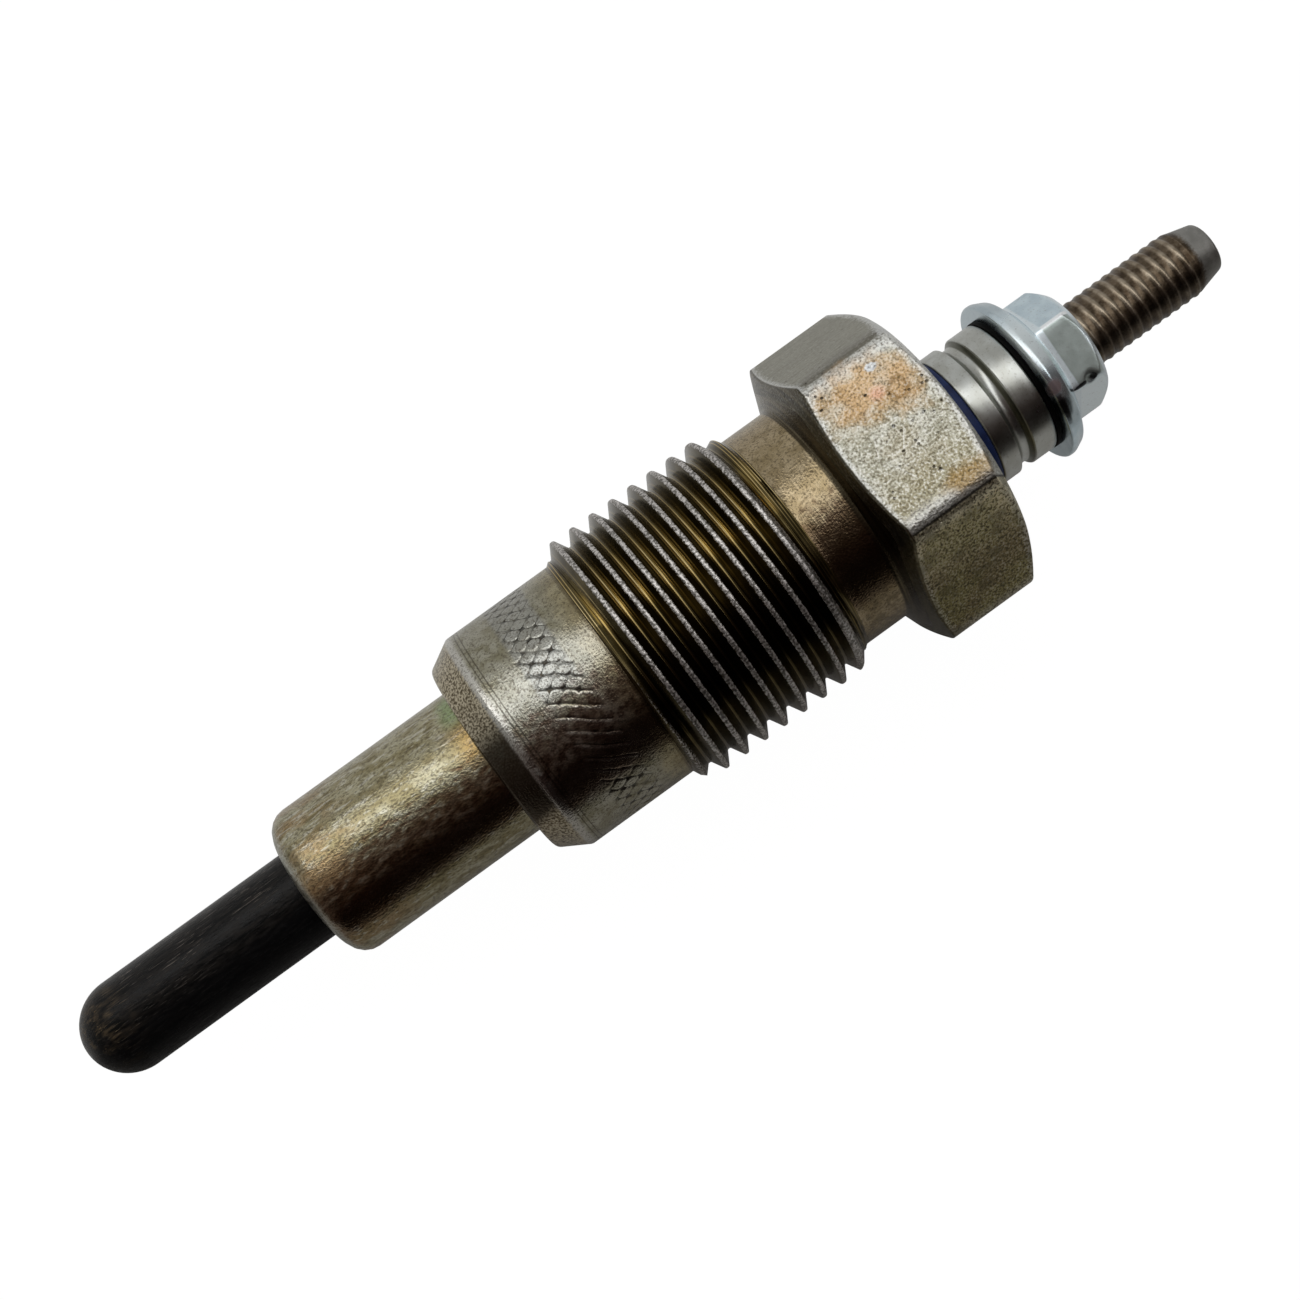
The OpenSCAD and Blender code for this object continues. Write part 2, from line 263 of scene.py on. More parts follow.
def make_finish(name, recipe):
    """A material with one Principled shader, whose sockets the recipe makes for a surface."""
    material = bpy.data.materials.new(name)
    start = blank_tree(material)
    shader = start.node("ShaderNodeBsdfPrincipled", {}, recipe(Surface(start)))
    start.node("ShaderNodeOutputMaterial", {}, {"Surface": shader}, out=None)
    print(name, "takes", len(material.node_tree.nodes), "nodes")
    return material


def mottled_finish(name, lump, detail, tints, roughness, bump=0, constants=()):
    """A plain finish: one noise varies the colour between two tints, the roughness and the relief."""

    def recipe(at):
        mottle = at.grain(lump, detail)
        sockets = {
            "Base Color": mix(mottle.between(0.3, 0.7), *tints),
            "Roughness": roughness[0] + mottle * roughness[1],
            **dict(constants),
        }
        if bump:
            sockets["Normal"] = relief(mottle, bump)
        return sockets

    return make_finish(name, recipe)


print("texture helpers ready")

# %% [markdown]
# ## Table and light
# The plug lies on a white table under one long soft light behind it, so each turned part carries a
# bright band above its middle. The room on the photographer's side is dark, which makes the black
# band below. The table looks white to the camera, yet it keeps the faint shadow of the plug.
# What the metal mirrors of the table is painted: darker towards the photographer's side, and with
# a pool of white light behind the plug and under the terminal.

# %% Table
SHELL_FRONT, SHELL_REAR, HEX_FLAT_R = span("body_shell")
TABLE_Z = -HEX_FLAT_R
TABLE_HALF = 3000.0
TABLE_WHITE = 0.92
GLOSSY_WHITE = 0.20
SHEET_Y = (-140.0, 60.0)
# Painted shade: the table's own colour darkens towards the photographer's side, and the metal mirrors it.
SHEET_PAINTED_SHADE = (
    (0.17, colour(0.05, 0.045, 0.04)),
    (0.38, colour(0.50, 0.49, 0.47)),
    (0.63, colour(0.50, 0.49, 0.47)),
    (0.74, colour(0.80, 0.80, 0.79)),
)
SHADE_Y = (-14.0, 8.0)
BRIGHT_X = (33.0, 41.0, 52.0, 60.0)
BRIGHT_SHARE = 0.6
CAMERA_WHITE_LEVEL = 1.075

table_mesh = bpy.data.meshes.new("table")
table_corners = [
    (side_x * TABLE_HALF * MM, side_y * TABLE_HALF * MM, TABLE_Z * MM)
    for side_x, side_y in ((-1, -1), (1, -1), (1, 1), (-1, 1))
]
table_mesh.from_pydata(table_corners, [], [(0, 1, 2, 3)])
table = bpy.data.objects.new("table", table_mesh)
bpy.context.scene.collection.objects.link(table)

table_paint = bpy.data.materials.new("white_table")
table_start = blank_tree(table_paint)
seen = table_start.node("ShaderNodeLightPath", out="Is Camera Ray")
glossy = table_start.node("ShaderNodeLightPath", out="Is Glossy Ray")
through = table_start.node("ShaderNodeLightPath", out="Is Transmission Ray")
sheet_place = table_start.node("ShaderNodeTexCoord", out="Object")
sheet_x = table_start.node("ShaderNodeSeparateXYZ", {}, {0: sheet_place}, out="X") / MM
sheet_y = table_start.node("ShaderNodeSeparateXYZ", {}, {0: sheet_place}, out="Y") / MM
# Painted light: reflections see a pool of white on the table behind the plug and under the terminal.
painted_light_under_terminal = sheet_x.window(*BRIGHT_X)
lit = sheet_y.between(*SHADE_Y).max(painted_light_under_terminal * BRIGHT_SHARE)
across_sheet = (sheet_y - SHEET_Y[0]) / (SHEET_Y[1] - SHEET_Y[0])
painted_sheet_shade = table_start.node("ShaderNodeValToRGB", {"stops": SHEET_PAINTED_SHADE}, {"Fac": across_sheet})
paper = table_start.node(
    "ShaderNodeBsdfPrincipled", {}, {"Base Color": painted_sheet_shade, "Roughness": 1.0, "Specular IOR Level": 0.0}
)
white = table_start.node("ShaderNodeEmission", {}, {"Strength": CAMERA_WHITE_LEVEL})
white_share = seen * TABLE_WHITE + (glossy + through) * lit * GLOSSY_WHITE
table_shader = table_start.node("ShaderNodeMixShader", {}, {0: white_share, 1: paper, 2: white})
table_start.node("ShaderNodeOutputMaterial", {}, {"Surface": table_shader}, out=None)
table_mesh.materials.append(table_paint)
print("table at z", round(TABLE_Z, 2), "mm")

# %% Lamps
WATTS_PER_LEVEL = 4
PLUG_MIDDLE = (12.0, 0.0, 0.0)
LAMP_PLACE = (115.0, 95.0, 400.0)
LAMP_WAY = (1.0, -0.8, 0.0)
LAMP_SIZE = (900, 200)
LAMP_LEVEL = 1.18
FILL_PLACE = (330, -230, 190)
FILL_WAY = (0, 1, 0)
FILL_SIZE = (180, 180)
FILL_LEVEL = 0.03


def soft_lamp(name, place, target, long_way, size, level):
    """A rectangular lamp whose long side follows long_way; level is its brightness as seen."""
    lamp_data = bpy.data.lights.new(name, "AREA")
    lamp_data.shape = "RECTANGLE"
    lamp_data.size, lamp_data.size_y = (side * MM for side in size)
    lamp_data.energy = WATTS_PER_LEVEL * level * lamp_data.size * lamp_data.size_y
    lamp = bpy.data.objects.new(name, lamp_data)
    away = np.subtract(place, target)
    away = away / np.linalg.norm(away)
    across = np.cross(away, long_way)
    across = across / np.linalg.norm(across)
    turn_to = Matrix(np.array([np.cross(across, away), across, away]).T.tolist())
    lamp.matrix_world = Matrix.Translation([v * MM for v in place]) @ turn_to.to_4x4()
    lamp.visible_camera = False
    bpy.context.scene.collection.objects.link(lamp)


soft_lamp("long_lamp", LAMP_PLACE, PLUG_MIDDLE, LAMP_WAY, LAMP_SIZE, LAMP_LEVEL)
for fill_side in (-1, 1):
    fill_place = (PLUG_MIDDLE[0] + fill_side * FILL_PLACE[0], *FILL_PLACE[1:])
    soft_lamp("fill_lamp", fill_place, PLUG_MIDDLE, FILL_WAY, FILL_SIZE, FILL_LEVEL)
print("lamps:", [lamp.name for lamp in bpy.data.lights])

# %% World
ROOM = (
    (0.00, colour(0.012, 0.009, 0.008)),
    (0.06, colour(0.005, 0.003, 0.003)),
    (0.17, colour(0.022, 0.012, 0.010)),
    (0.33, colour(0.085, 0.066, 0.060)),
    (0.46, colour(0.200, 0.192, 0.185)),
    (0.60, colour(0.330, 0.330, 0.325)),
    (1.00, colour(0.620, 0.620, 0.615)),
)

world = bpy.data.worlds.new("room")
bpy.context.scene.world = world
room_start = blank_tree(world)
look = room_start.node("ShaderNodeTexCoord", out="Generated")
toward_back = room_start.node("ShaderNodeSeparateXYZ", {}, {0: look}, out="Y") * 0.5 + 0.5
room = room_start.node("ShaderNodeValToRGB", {"stops": ROOM}, {"Fac": toward_back})
camera_sees = room_start.node("ShaderNodeLightPath", out="Is Camera Ray")
backdrop = mix(camera_sees, room, colour(1, 1, 1))
room_light = room_start.node("ShaderNodeBackground", {}, {"Color": backdrop, "Strength": 1.0})
room_start.node("ShaderNodeOutputWorld", {}, {"Surface": room_light}, out=None)
print("room lit")

# %% [markdown]
# ## Turned outlines
# Almost every piece here came off a lathe, so its outline is a short list of corners, each with the
# radius that wear and tumbling gave it. The same corner list also makes hexagons: where the radius
# is one number per column round the axis, flats and cones meet in true curves by themselves.


# %% Outline helpers
def unit(vectors):
    return vectors / np.linalg.norm(vectors, axis=-1, keepdims=True)


def arc_rows(before, corner, after, radius, steps):
    """Points of the arc that rounds one corner, for every column at once."""
    back, onward = unit(before - corner), unit(after - corner)
    half = 0.5 * np.arccos(np.clip((back * onward).sum(-1, keepdims=True), -1, 1))
    start = corner + back * radius / np.tan(half)
    end = corner + onward * radius / np.tan(half)
    centre = corner + unit(back + onward) * radius / np.sin(half)
    swing = np.pi - 2 * half
    from_start, from_end = (start - centre) / np.sin(swing), (end - centre) / np.sin(swing)
    return [
        centre + np.sin((1 - s) * swing) * from_start + np.sin(s * swing) * from_end
        for s in np.linspace(0, 1, steps + 1)
    ]


def rounded(corners, step=None, steps=5):
    """Rows (x, r) along an outline of (x, r, radius) corners, with extra rows no more than step apart."""
    shape = np.broadcast_shapes((1,), *(np.shape(value) for corner in corners for value in corner[:2]))
    spots = [
        np.stack([np.broadcast_to(value, shape) for value in corner[:2]], -1).astype(float)
        for corner in corners
    ]
    radii = [corner[2] if len(corner) > 2 else 0 for corner in corners]
    rows = [spots[0]]
    for before, spot, after, radius in zip(spots, spots[1:], spots[2:], radii[1:]):
        rows.extend(arc_rows(before, spot, after, radius, steps) if radius else [spot])
    rows.append(spots[-1])
    return np.array(rows) if step is None else infill(rows, step)


def infill(rows, step):
    """Adds rows where neighbours are further apart than step."""
    filled = [rows[0]]
    for low, high in zip(rows, rows[1:]):
        count = max(1, math.ceil(np.linalg.norm(high - low, axis=-1).max() / step))
        filled.extend(low + (high - low) * k / count for k in range(1, count + 1))
    return np.array(filled)


def turned(rows, angles):
    """Points of outline rows turned round X; angle 0 is up, and it grows towards -Y."""
    x, r = (np.broadcast_to(rows[..., part], (len(rows), len(angles))) for part in (0, 1))
    return np.stack([x, -r * np.sin(angles), r * np.cos(angles)], -1)


print("a rounded square corner has", len(rounded([(0, 1), (1, 1, 0.2), (1, 0)])), "rows")


# %% Skins and pieces
WELD = 0.0005
SHARP_DEGREES = 40


class Skin:
    """Collects grids of points, which weld into one closed piece where they meet."""

    def __init__(self):
        self.points = []
        self.faces = []
        self.finishes = []
        self.count = 0

    def add(self, grid, finish=0, seam=0):
        """Skins a grid that closes round the axis; seam shifts the rows where a helix closes."""
        rows, columns = grid.shape[:2]
        for j in range(columns):
            k = (j + 1) % columns
            shift = seam if k == 0 else 0
            for i in range(rows - 1):
                low, high = min(i + shift, rows - 1), min(i + 1 + shift, rows - 1)
                corners = [i * columns + j, low * columns + k, high * columns + k, (i + 1) * columns + j]
                self.face(dict.fromkeys(corners), finish)
        self.place(grid)

    def bridge(self, coarse, fine, finish=0):
        """Joins a ring to one with several times as many points."""
        columns, ratio = len(coarse), len(fine) // len(coarse)
        for j in range(columns):
            run = [columns + (j * ratio + k) % len(fine) for k in range(ratio, -1, -1)]
            self.face([j, (j + 1) % columns, *run], finish)
        self.place(np.concatenate([coarse, fine]))

    def face(self, corners, finish):
        self.faces.append([self.count + corner for corner in corners])
        self.finishes.append(finish)

    def place(self, points):
        self.points.append(points.reshape(-1, 3))
        self.count += self.points[-1].shape[0]


def make_piece(name, skin, node, finishes):
    """Welds a skin into a piece that stands for a CAD node and rides with it."""
    mesh = bpy.data.meshes.new(name)
    mesh.from_pydata((np.concatenate(skin.points) * MM).tolist(), [], skin.faces)
    mesh.polygons.foreach_set("material_index", skin.finishes)
    work = bmesh.new()
    work.from_mesh(mesh)
    bmesh.ops.remove_doubles(work, verts=work.verts, dist=WELD * MM)
    bmesh.ops.recalc_face_normals(work, faces=work.faces)
    open_edges = sum(not edge.is_manifold for edge in work.edges)
    triangles = sum(len(face.verts) - 2 for face in work.faces)
    work.to_mesh(mesh)
    work.free()
    mesh.shade_smooth()
    mesh.set_sharp_from_angle(angle=math.radians(SHARP_DEGREES))
    for material in finishes:
        mesh.materials.append(material)
    piece = bpy.data.objects.new(name, mesh)
    bpy.context.scene.collection.objects.link(piece)
    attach(piece, "root")
    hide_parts(node)
    print(name, triangles, "triangles,", open_edges, "open edges")


def round_angles(columns):
    return np.radians(np.arange(columns) * 360 / columns)


def revolve(name, corners, node, finish, columns=144, step=None, steps=5):
    """A plain turned piece from its outline."""
    skin = Skin()
    skin.add(turned(rounded(corners, step, steps), round_angles(columns)))
    make_piece(name, skin, node, [finish])


print("points less than", WELD, "mm apart weld, and edges over", SHARP_DEGREES, "degrees stay sharp")

# %% [markdown]
# ## Heater tube
# The tip that glows is a thin steel tube with a closed round end. Heat has burnt it black, with a
# brown bloom on the dome and long fine scratches from being pulled through the cylinder head.
# A black oxide hardly mirrors, so this finish isn't a metal: it is a dark coat with a dull sheen.

# %% Heater finish


def heater_sockets(at):
    """Black oxide with fine scratches and a brown bloom on the dome; painted shade below, and the
    scratches painted paler on top.
    """
    streaks = at.grain(0.07, 3, stretch=(16, 1, 1)).between(0.59, 0.70)
    scratched = at.grain(2.2, 2, stretch=(2, 1, 1)).between(0.40, 0.62)
    bloom = at.grain(0.9, 4).between(0.38, 0.66) * at.x.between(-25.5, -29)
    dust = at.grain(0.20, 4, stretch=(5, 1, 1)).between(0.35, 0.75)
    base = mix(dust, colour(0.001, 0.001, 0.001), colour(0.015, 0.012, 0.010))
    # Real scratches, painted paler towards the upper side as a painted highlight.
    base = mix(streaks * scratched * (0.3 + at.y.between(0.2, 1.2) * 0.7), base, colour(0.21, 0.18, 0.155))
    base = mix(bloom * streaks.max(dust * 0.35) * 0.9, base, colour(0.27, 0.19, 0.10))
    bumps = at.grain(0.14, 3, stretch=(3, 1, 1)) + streaks * 0.5
    # Painted shade: the lower side is painted nearly black.
    painted_shade = at.y.between(-0.4, -1.4)
    base = mix(painted_shade * 0.85, base, colour(0.001, 0.001, 0.0015))
    return {
        "Base Color": base,
        "Roughness": 0.24 + dust * 0.16 + painted_shade * 0.25,
        "Specular IOR Level": 0.17,
        "Normal": relief(bumps, 0.018),
    }


HEATER = make_finish("burnt_heater", heater_sockets)

# %% Heater tube
TIP_X, TUBE_REAR, TUBE_R = span("glow_tube")
TUBE_WALL = 0.6
TUBE_BORE_R = TUBE_R - TUBE_WALL

revolve("heater_tube", [
    (TIP_X, 0),
    (TIP_X, TUBE_R, TUBE_R),
    (TUBE_REAR, TUBE_R, 0.1),
    (TUBE_REAR, TUBE_BORE_R),
    (TIP_X + TUBE_WALL, TUBE_BORE_R, TUBE_BORE_R),
    (TIP_X + TUBE_WALL, 0),
], "glow_tube", HEATER, columns=128, steps=18)

# %% [markdown]
# ## Finishes of the shell
# The shell is one piece of plated steel, but heat and wear give each length its own look: an olive
# nose with temper colours, a worn seat and land, a thread with bare crests over brown valleys, a
# golden neck and a speckled, stained hexagon. Each gets its own material slot on the one mesh.
# Painted shade and painted highlights lie over these finishes where the light falls.

# %% Nose finish


def nose_sockets(at):
    """Olive plating with scale, a golden end, a green tint and a worn front edge, under painted shade."""
    drift = at.grain(0.8, 6, stretch=(2.2, 1, 1))
    fine = at.grain(0.13, 3, stretch=(1.5, 1, 1))
    scale = at.grain(0.32, 5, stretch=(2.2, 1, 1))
    wave = at.grain(0.26, 2, stretch=(7, 1, 1)).between(0.59, 0.67)
    base = mix(drift.between(0.36, 0.64), colour(0.30, 0.26, 0.145), colour(0.45, 0.42, 0.29))
    brown = at.grain(1.5, 5, stretch=(1.6, 1, 1)).between(0.40, 0.60) * at.x.between(-7.5, -10.5)
    base = mix(brown * 0.7, base, colour(0.36, 0.245, 0.125))
    base = mix(scale.between(0.55, 0.66) * 0.65, base, colour(0.62, 0.60, 0.49))
    base = mix(scale.between(0.45, 0.36) * 0.55, base, colour(0.14, 0.11, 0.055))
    base = mix(wave * at.y.between(0.6, 1.8) * 0.55, base, colour(0.68, 0.66, 0.57))
    gold = (at.x + drift.swing(2.4)).between(-2.1, -0.2) * at.y.window(-1.6, 0.5, 1.6, 3.0)
    base = mix(gold * 0.65, base, colour(0.43, 0.26, 0.075))
    # Painted shade: the highlight band just above the middle is dimmed.
    base = mix(at.y.window(0.6, 1.3, 2.0, 2.8) * 0.22, base, colour(0.20, 0.17, 0.10))
    green = (at.x + drift).between(-1.0, 0.2) * at.y.window(1.8, 3.0, 4.0, 4.9)
    base = mix(green * 0.65, base, colour(0.26, 0.38, 0.17))
    # Painted shade: a ragged red-brown band below the middle.
    shade = (at.y + scale.swing(5)).between(0.0, -1.6) * at.y.between(-4.4, -3.8)
    base = mix(shade * 0.6, base, colour(0.22, 0.11, 0.07))
    ember = at.x.between(-9.5, -11.5) * at.y.window(-1.6, -0.9, -0.2, 0.6)
    base = mix(ember * 0.6, base, colour(0.62, 0.42, 0.22))
    worn = (at.x + fine * 0.5).between(-12.75, -13.3)
    base = mix(worn * 0.75, base, colour(0.47, 0.48, 0.43))
    base = mix(fine.between(0.49, 0.65) * 0.58, base, colour(0.08, 0.062, 0.035))
    film = scale.between(0.42, 0.62) * at.y.between(-2.9, -1.9)
    return {
        "Base Color": base,
        "Roughness": 0.17 + drift * 0.08 + worn * 0.14,
        "Metallic": 1 - film * 0.20,
        "Normal": relief(fine + scale * 0.6, 0.026),
    }


NOSE = make_finish("olive_nose", nose_sockets)

# %% Land finish
LAND_R = 7.85
TURNED_LINES = (2.50, 2.76)
LINE_WINDOW = (-0.06, -0.02, 0.02, 0.06)
KNURL_X = (4.65, 7.65)
KNURL_BAND = (4.6, 5.0, 7.3, 7.7)
KNURL_LINES = 49
KNURL_LEAN = math.radians(36.1)
KNURL_SPACING = 2 * math.pi * LAND_R * math.cos(KNURL_LEAN) / KNURL_LINES
KNURL_POWER = 3
# Uneven rolling, as waves: cycles round the plug, radians along each millimetre, swing in spacings.
KNURL_WAVES = ((5, 2.3, 0.05), (11, -1.7, 0.04))
# Where the second set of grooves has worn away (angles), its weight elsewhere, and what it lost there.
KNURL_WORN = (0, 0.3, 0.75, 0.95)
KNURL_SECOND = 0.96
KNURL_LOST = 0.66


def knurl_lines(at):
    """1 on the grooves of the knurl, which are painted dark, and 1 on the lit sides of the worn ones, for
    a painted highlight.

    These are the crossing lines that the mesh gets later.
    """
    angle = (0 - at.y).math("ARCTAN2", at.z)
    wander = sum((angle * turns + at.x * rate).math("SINE") * swing for turns, rate, swing in KNURL_WAVES)
    worn_away = angle.window(*KNURL_WORN)
    reach, sides = 0, []
    for lean, weight in ((-1, 1.0), (1, KNURL_SECOND - worn_away * KNURL_LOST)):
        place = angle * (LAND_R * math.cos(KNURL_LEAN)) + at.x * (lean * math.sin(KNURL_LEAN))
        sides.append((place / KNURL_SPACING + wander).math("FRACT"))
        reach = reach + (sides[-1] * 2 - 1).math("ABSOLUTE") ** KNURL_POWER * weight
    return reach.between(0.72, 0.95), sides[0].window(0.05, 0.12, 0.20, 0.34) * worn_away


def land_sockets(at):
    """Worn silver and olive plating with the seat, the turned lines, dark knurl grooves, painted shade and
    highlights.
    """
    drift = at.grain(0.9, 6)
    speckle = at.grain(0.14, 3)
    scale = at.grain(0.50, 5)
    turning = at.grain(0.11, 2, stretch=(1, 40, 40))
    silver = mix(drift.between(0.34, 0.66), colour(0.30, 0.28, 0.195), colour(0.46, 0.445, 0.365))
    olive = mix(drift.between(0.34, 0.66), colour(0.31, 0.255, 0.14), colour(0.44, 0.39, 0.25))
    base = mix((at.x + drift.swing(3)).between(7.7, 9.3), silver, olive)
    base = mix(scale.between(0.44, 0.34) * 0.4, base, colour(0.14, 0.12, 0.075))
    # Painted shade: the top is darkened.
    base = mix(at.y.between(1.6, 4.5) * 0.25, base, colour(0.18, 0.165, 0.11))
    # Painted highlight: a pale silver band above the middle.
    painted_highlight = at.y.window(-1.4, 0.2, 1.4, 2.8)
    base = mix(painted_highlight * 0.35, base, colour(0.50, 0.515, 0.50))
    # Painted shade: a red-brown band below the middle, lighter towards the thread.
    shade = (at.y + scale.swing(6)).between(0.0, -2.6) * at.y.between(-6.5, -5.7)
    base = mix(shade * (0.6 - at.x.between(6.8, 8.4) * 0.2), base, colour(0.20, 0.105, 0.08))
    seat = at.x.between(2.05, 1.65)
    film = scale.between(0.42, 0.62) * at.y.between(-4.6, -3.2) * (1 - seat)
    cone = mix(speckle.between(0.40, 0.60), colour(0.60, 0.53, 0.39), colour(0.16, 0.125, 0.07))
    # Painted shade: the seat cone is painted nearly black in a band below the middle.
    cone = mix(at.y.window(-5.9, -5.1, -1.0, 0.8) * 0.92, cone, colour(0.022, 0.016, 0.011))
    base = mix(seat * 0.9, base, cone)
    rim = (at.x + speckle.swing(0.5)).between(1.65, 1.85) * at.x.between(2.45, 2.1)
    base = mix(rim * 0.75, base, colour(0.66, 0.645, 0.60))
    band = at.x.window(*KNURL_BAND)
    # Painted highlight: the knurled band is paler and bluer towards the top.
    base = mix(band * at.y.between(-1.5, 0.5) * 0.35, base, colour(0.46, 0.48, 0.50))
    grooves, lit_sides = knurl_lines(at)
    # Painted highlight: a pale line on the lit side of each worn groove.
    base = mix(lit_sides * band * drift.between(0.30, 0.50) * 0.7, base, colour(0.66, 0.63, 0.56))
    # The knurl's grooves are painted dark.
    groove = grooves * band * (0.35 + drift.between(0.36, 0.60) * 0.6)
    base = mix(groove, base, colour(0.020, 0.018, 0.014))
    for line_x in TURNED_LINES:
        line = (at.x - line_x).window(*LINE_WINDOW)
        base = mix(line * 0.6, base, colour(0.045, 0.036, 0.025))
    end_line = at.x.between(9.40, 9.55)
    base = mix(end_line * 0.7, base, colour(0.11, 0.085, 0.045))
    base = mix(speckle.between(0.50, 0.66) * 0.65, base, colour(0.08, 0.062, 0.04))
    return {
        "Base Color": base,
        "Roughness": 0.17 + drift * 0.08 + seat * 0.03,
        "Metallic": 1 - film * 0.18,
        "Normal": relief(speckle + turning * 0.6 + scale * 0.6, 0.026),
    }


LAND = make_finish("worn_land", land_sockets)

# %% Thread finish
THREAD_CREST_R = 8.95
THREAD_DEPTH = 0.92
THREAD_ROOT_R = THREAD_CREST_R - THREAD_DEPTH
THREAD_PITCH = 1.5
THREAD_CREST_SEEN = 11.17
THREAD_FIRST_CREST = THREAD_CREST_SEEN - THREAD_PITCH * LEAN_DEGREES / 360
END_CUT_PITCH = 0.19
LEAD_IN = (9.75, 9.95, 10.2, 10.4)
FULL_THREAD = (10.2, 10.4, 22.0, 22.2)
LAST_TURN = (21.5, 21.75)
# Painted glints, bright lines in each valley: a window in shares of the pitch after the crest, and a
# weight.
PAINTED_VALLEY_GLINTS = (
    ((0.425, 0.450, 0.475, 0.505), 1.00),
    ((0.335, 0.355, 0.375, 0.400), 0.45),
    ((0.555, 0.575, 0.595, 0.615), 0.40),
    ((0.655, 0.670, 0.690, 0.710), 0.40),
)


def thread_sockets(at):
    """Bare crests over brown valleys, with painted gold glints and a painted sheen where they face the
    lamp.
    """
    speckle = at.grain(0.16, 4)
    drift = at.grain(1.8, 3)
    height = at.radius - THREAD_ROOT_R
    last_turn = at.x.between(*LAST_TURN)
    level = height + last_turn * 0.40 + speckle.swing(0.25)
    crest = level.between(THREAD_DEPTH - 0.11, THREAD_DEPTH - 0.02) * at.x.between(22.5, 22.2)
    lead_in = at.x.window(*LEAD_IN) * height.between(0.22, 0.36)
    crest = crest.max(lead_in * speckle.between(0.40, 0.58) * 0.8)
    lit_side = at.y.between(-1.5, 1.2)
    full_root = at.x.window(*FULL_THREAD)
    # Painted highlight: the band that faces the lamp.
    painted_highlight_band = at.y.window(0.2, 1.8, 2.6, 5.6)
    turns = (0 - at.y).math("ARCTAN2", at.z) / (2 * math.pi)
    phase = ((at.x - THREAD_FIRST_CREST) / THREAD_PITCH - turns).math("FRACT")
    # Painted glints: thin bright lines in each valley, brighter on the lit side and in the band that faces
    # the lamp.
    lines = reduce(Wire.max, (phase.window(*window) * weight for window, weight in PAINTED_VALLEY_GLINTS))
    root = lines * full_root * (0.10 + lit_side * 0.35 + painted_highlight_band * 0.55)
    # The end cuts are real marks, painted as bright lines that are brighter on the lit side, a painted
    # highlight.
    cuts = (at.x * (2 * math.pi / END_CUT_PITCH)).math("SINE").between(0.45, 0.95)
    ends = at.x.between(22.35, 22.5) + at.x.between(10.05, 9.9) * height.between(0.25, 0.15)
    root = root.max(cuts * ends * (0.2 + lit_side * 0.6))
    flank = mix(drift.between(0.35, 0.65), colour(0.055, 0.042, 0.016), colour(0.10, 0.078, 0.034))
    marks = at.grain(0.06, 2, stretch=(1, 60, 60)).between(0.42, 0.62)
    # Painted highlight: a golden sheen on the flanks in that band.
    painted_flank_glow = painted_highlight_band * phase.between(0.28, 0.42) * phase.between(0.60, 0.50).max(1 - full_root)
    flank = mix(painted_flank_glow * height.between(0.40, 0.08) * marks * 0.8, flank, colour(0.64, 0.43, 0.11))
    flank = mix(marks * 0.3, flank, colour(0.02, 0.014, 0.006))
    # The glints are painted gold, brighter in that band.
    valley = mix(root, flank, mix(painted_highlight_band, colour(0.62, 0.46, 0.19), colour(0.88, 0.70, 0.36)))
    bare = mix(speckle.between(0.40, 0.60), colour(0.19, 0.18, 0.165), colour(0.70, 0.67, 0.645))
    return {
        "Base Color": mix(crest, valley, bare),
        "Roughness": 0.20 + crest * 0.24,
        "Metallic": 1.0,
        "Normal": relief(speckle * crest, 0.030),
    }


THREAD = make_finish("worn_thread", thread_sockets)

# %% Neck finish


def cone_rings(turning):
    """Dark colour of the cone in front of the hexagon, with the rings that the lathe left."""
    return mix(turning.between(0.40, 0.62), colour(0.025, 0.02, 0.012), colour(0.10, 0.084, 0.052))


def neck_sockets(at):
    """Golden plating, with painted shade in a band below the middle and on the lowest side."""
    drift = at.grain(0.9, 6)
    speckle = at.grain(0.14, 3)
    scale = at.grain(0.50, 5)
    turning = at.grain(0.11, 2, stretch=(1, 60, 60))
    base = mix(drift.between(0.34, 0.66), colour(0.31, 0.24, 0.135), colour(0.44, 0.355, 0.225))
    base = mix(scale.between(0.44, 0.34) * 0.4, base, colour(0.15, 0.115, 0.06))
    # Painted shade: a dark band below the middle.
    shade = (at.y + scale.swing(5)).between(0.4, -1.6) * at.y.between(-6.7, -6.0)
    base = mix(shade * 0.75, base, colour(0.12, 0.075, 0.045))
    film = scale.between(0.42, 0.62) * at.y.between(-3.4, -2.2)
    base = mix(speckle.between(0.50, 0.66) * 0.65, base, colour(0.08, 0.058, 0.03))
    # Painted shade: the lowest side is darkened in patches.
    foot = at.y.between(-5.9, -6.7) * scale.between(0.40, 0.58)
    base = mix(foot * 0.6, base, colour(0.11, 0.085, 0.05))
    root_line = at.x.between(26.0, 26.15)
    base = mix(root_line * 0.9, base, cone_rings(turning))
    return {
        "Base Color": base,
        "Roughness": 0.17 + drift * 0.08,
        "Metallic": 1 - film * 0.10 * (1 - root_line),
        "Normal": relief(speckle + turning * 0.6 + scale * 0.6, 0.026),
    }


NECK = make_finish("golden_neck", neck_sockets)

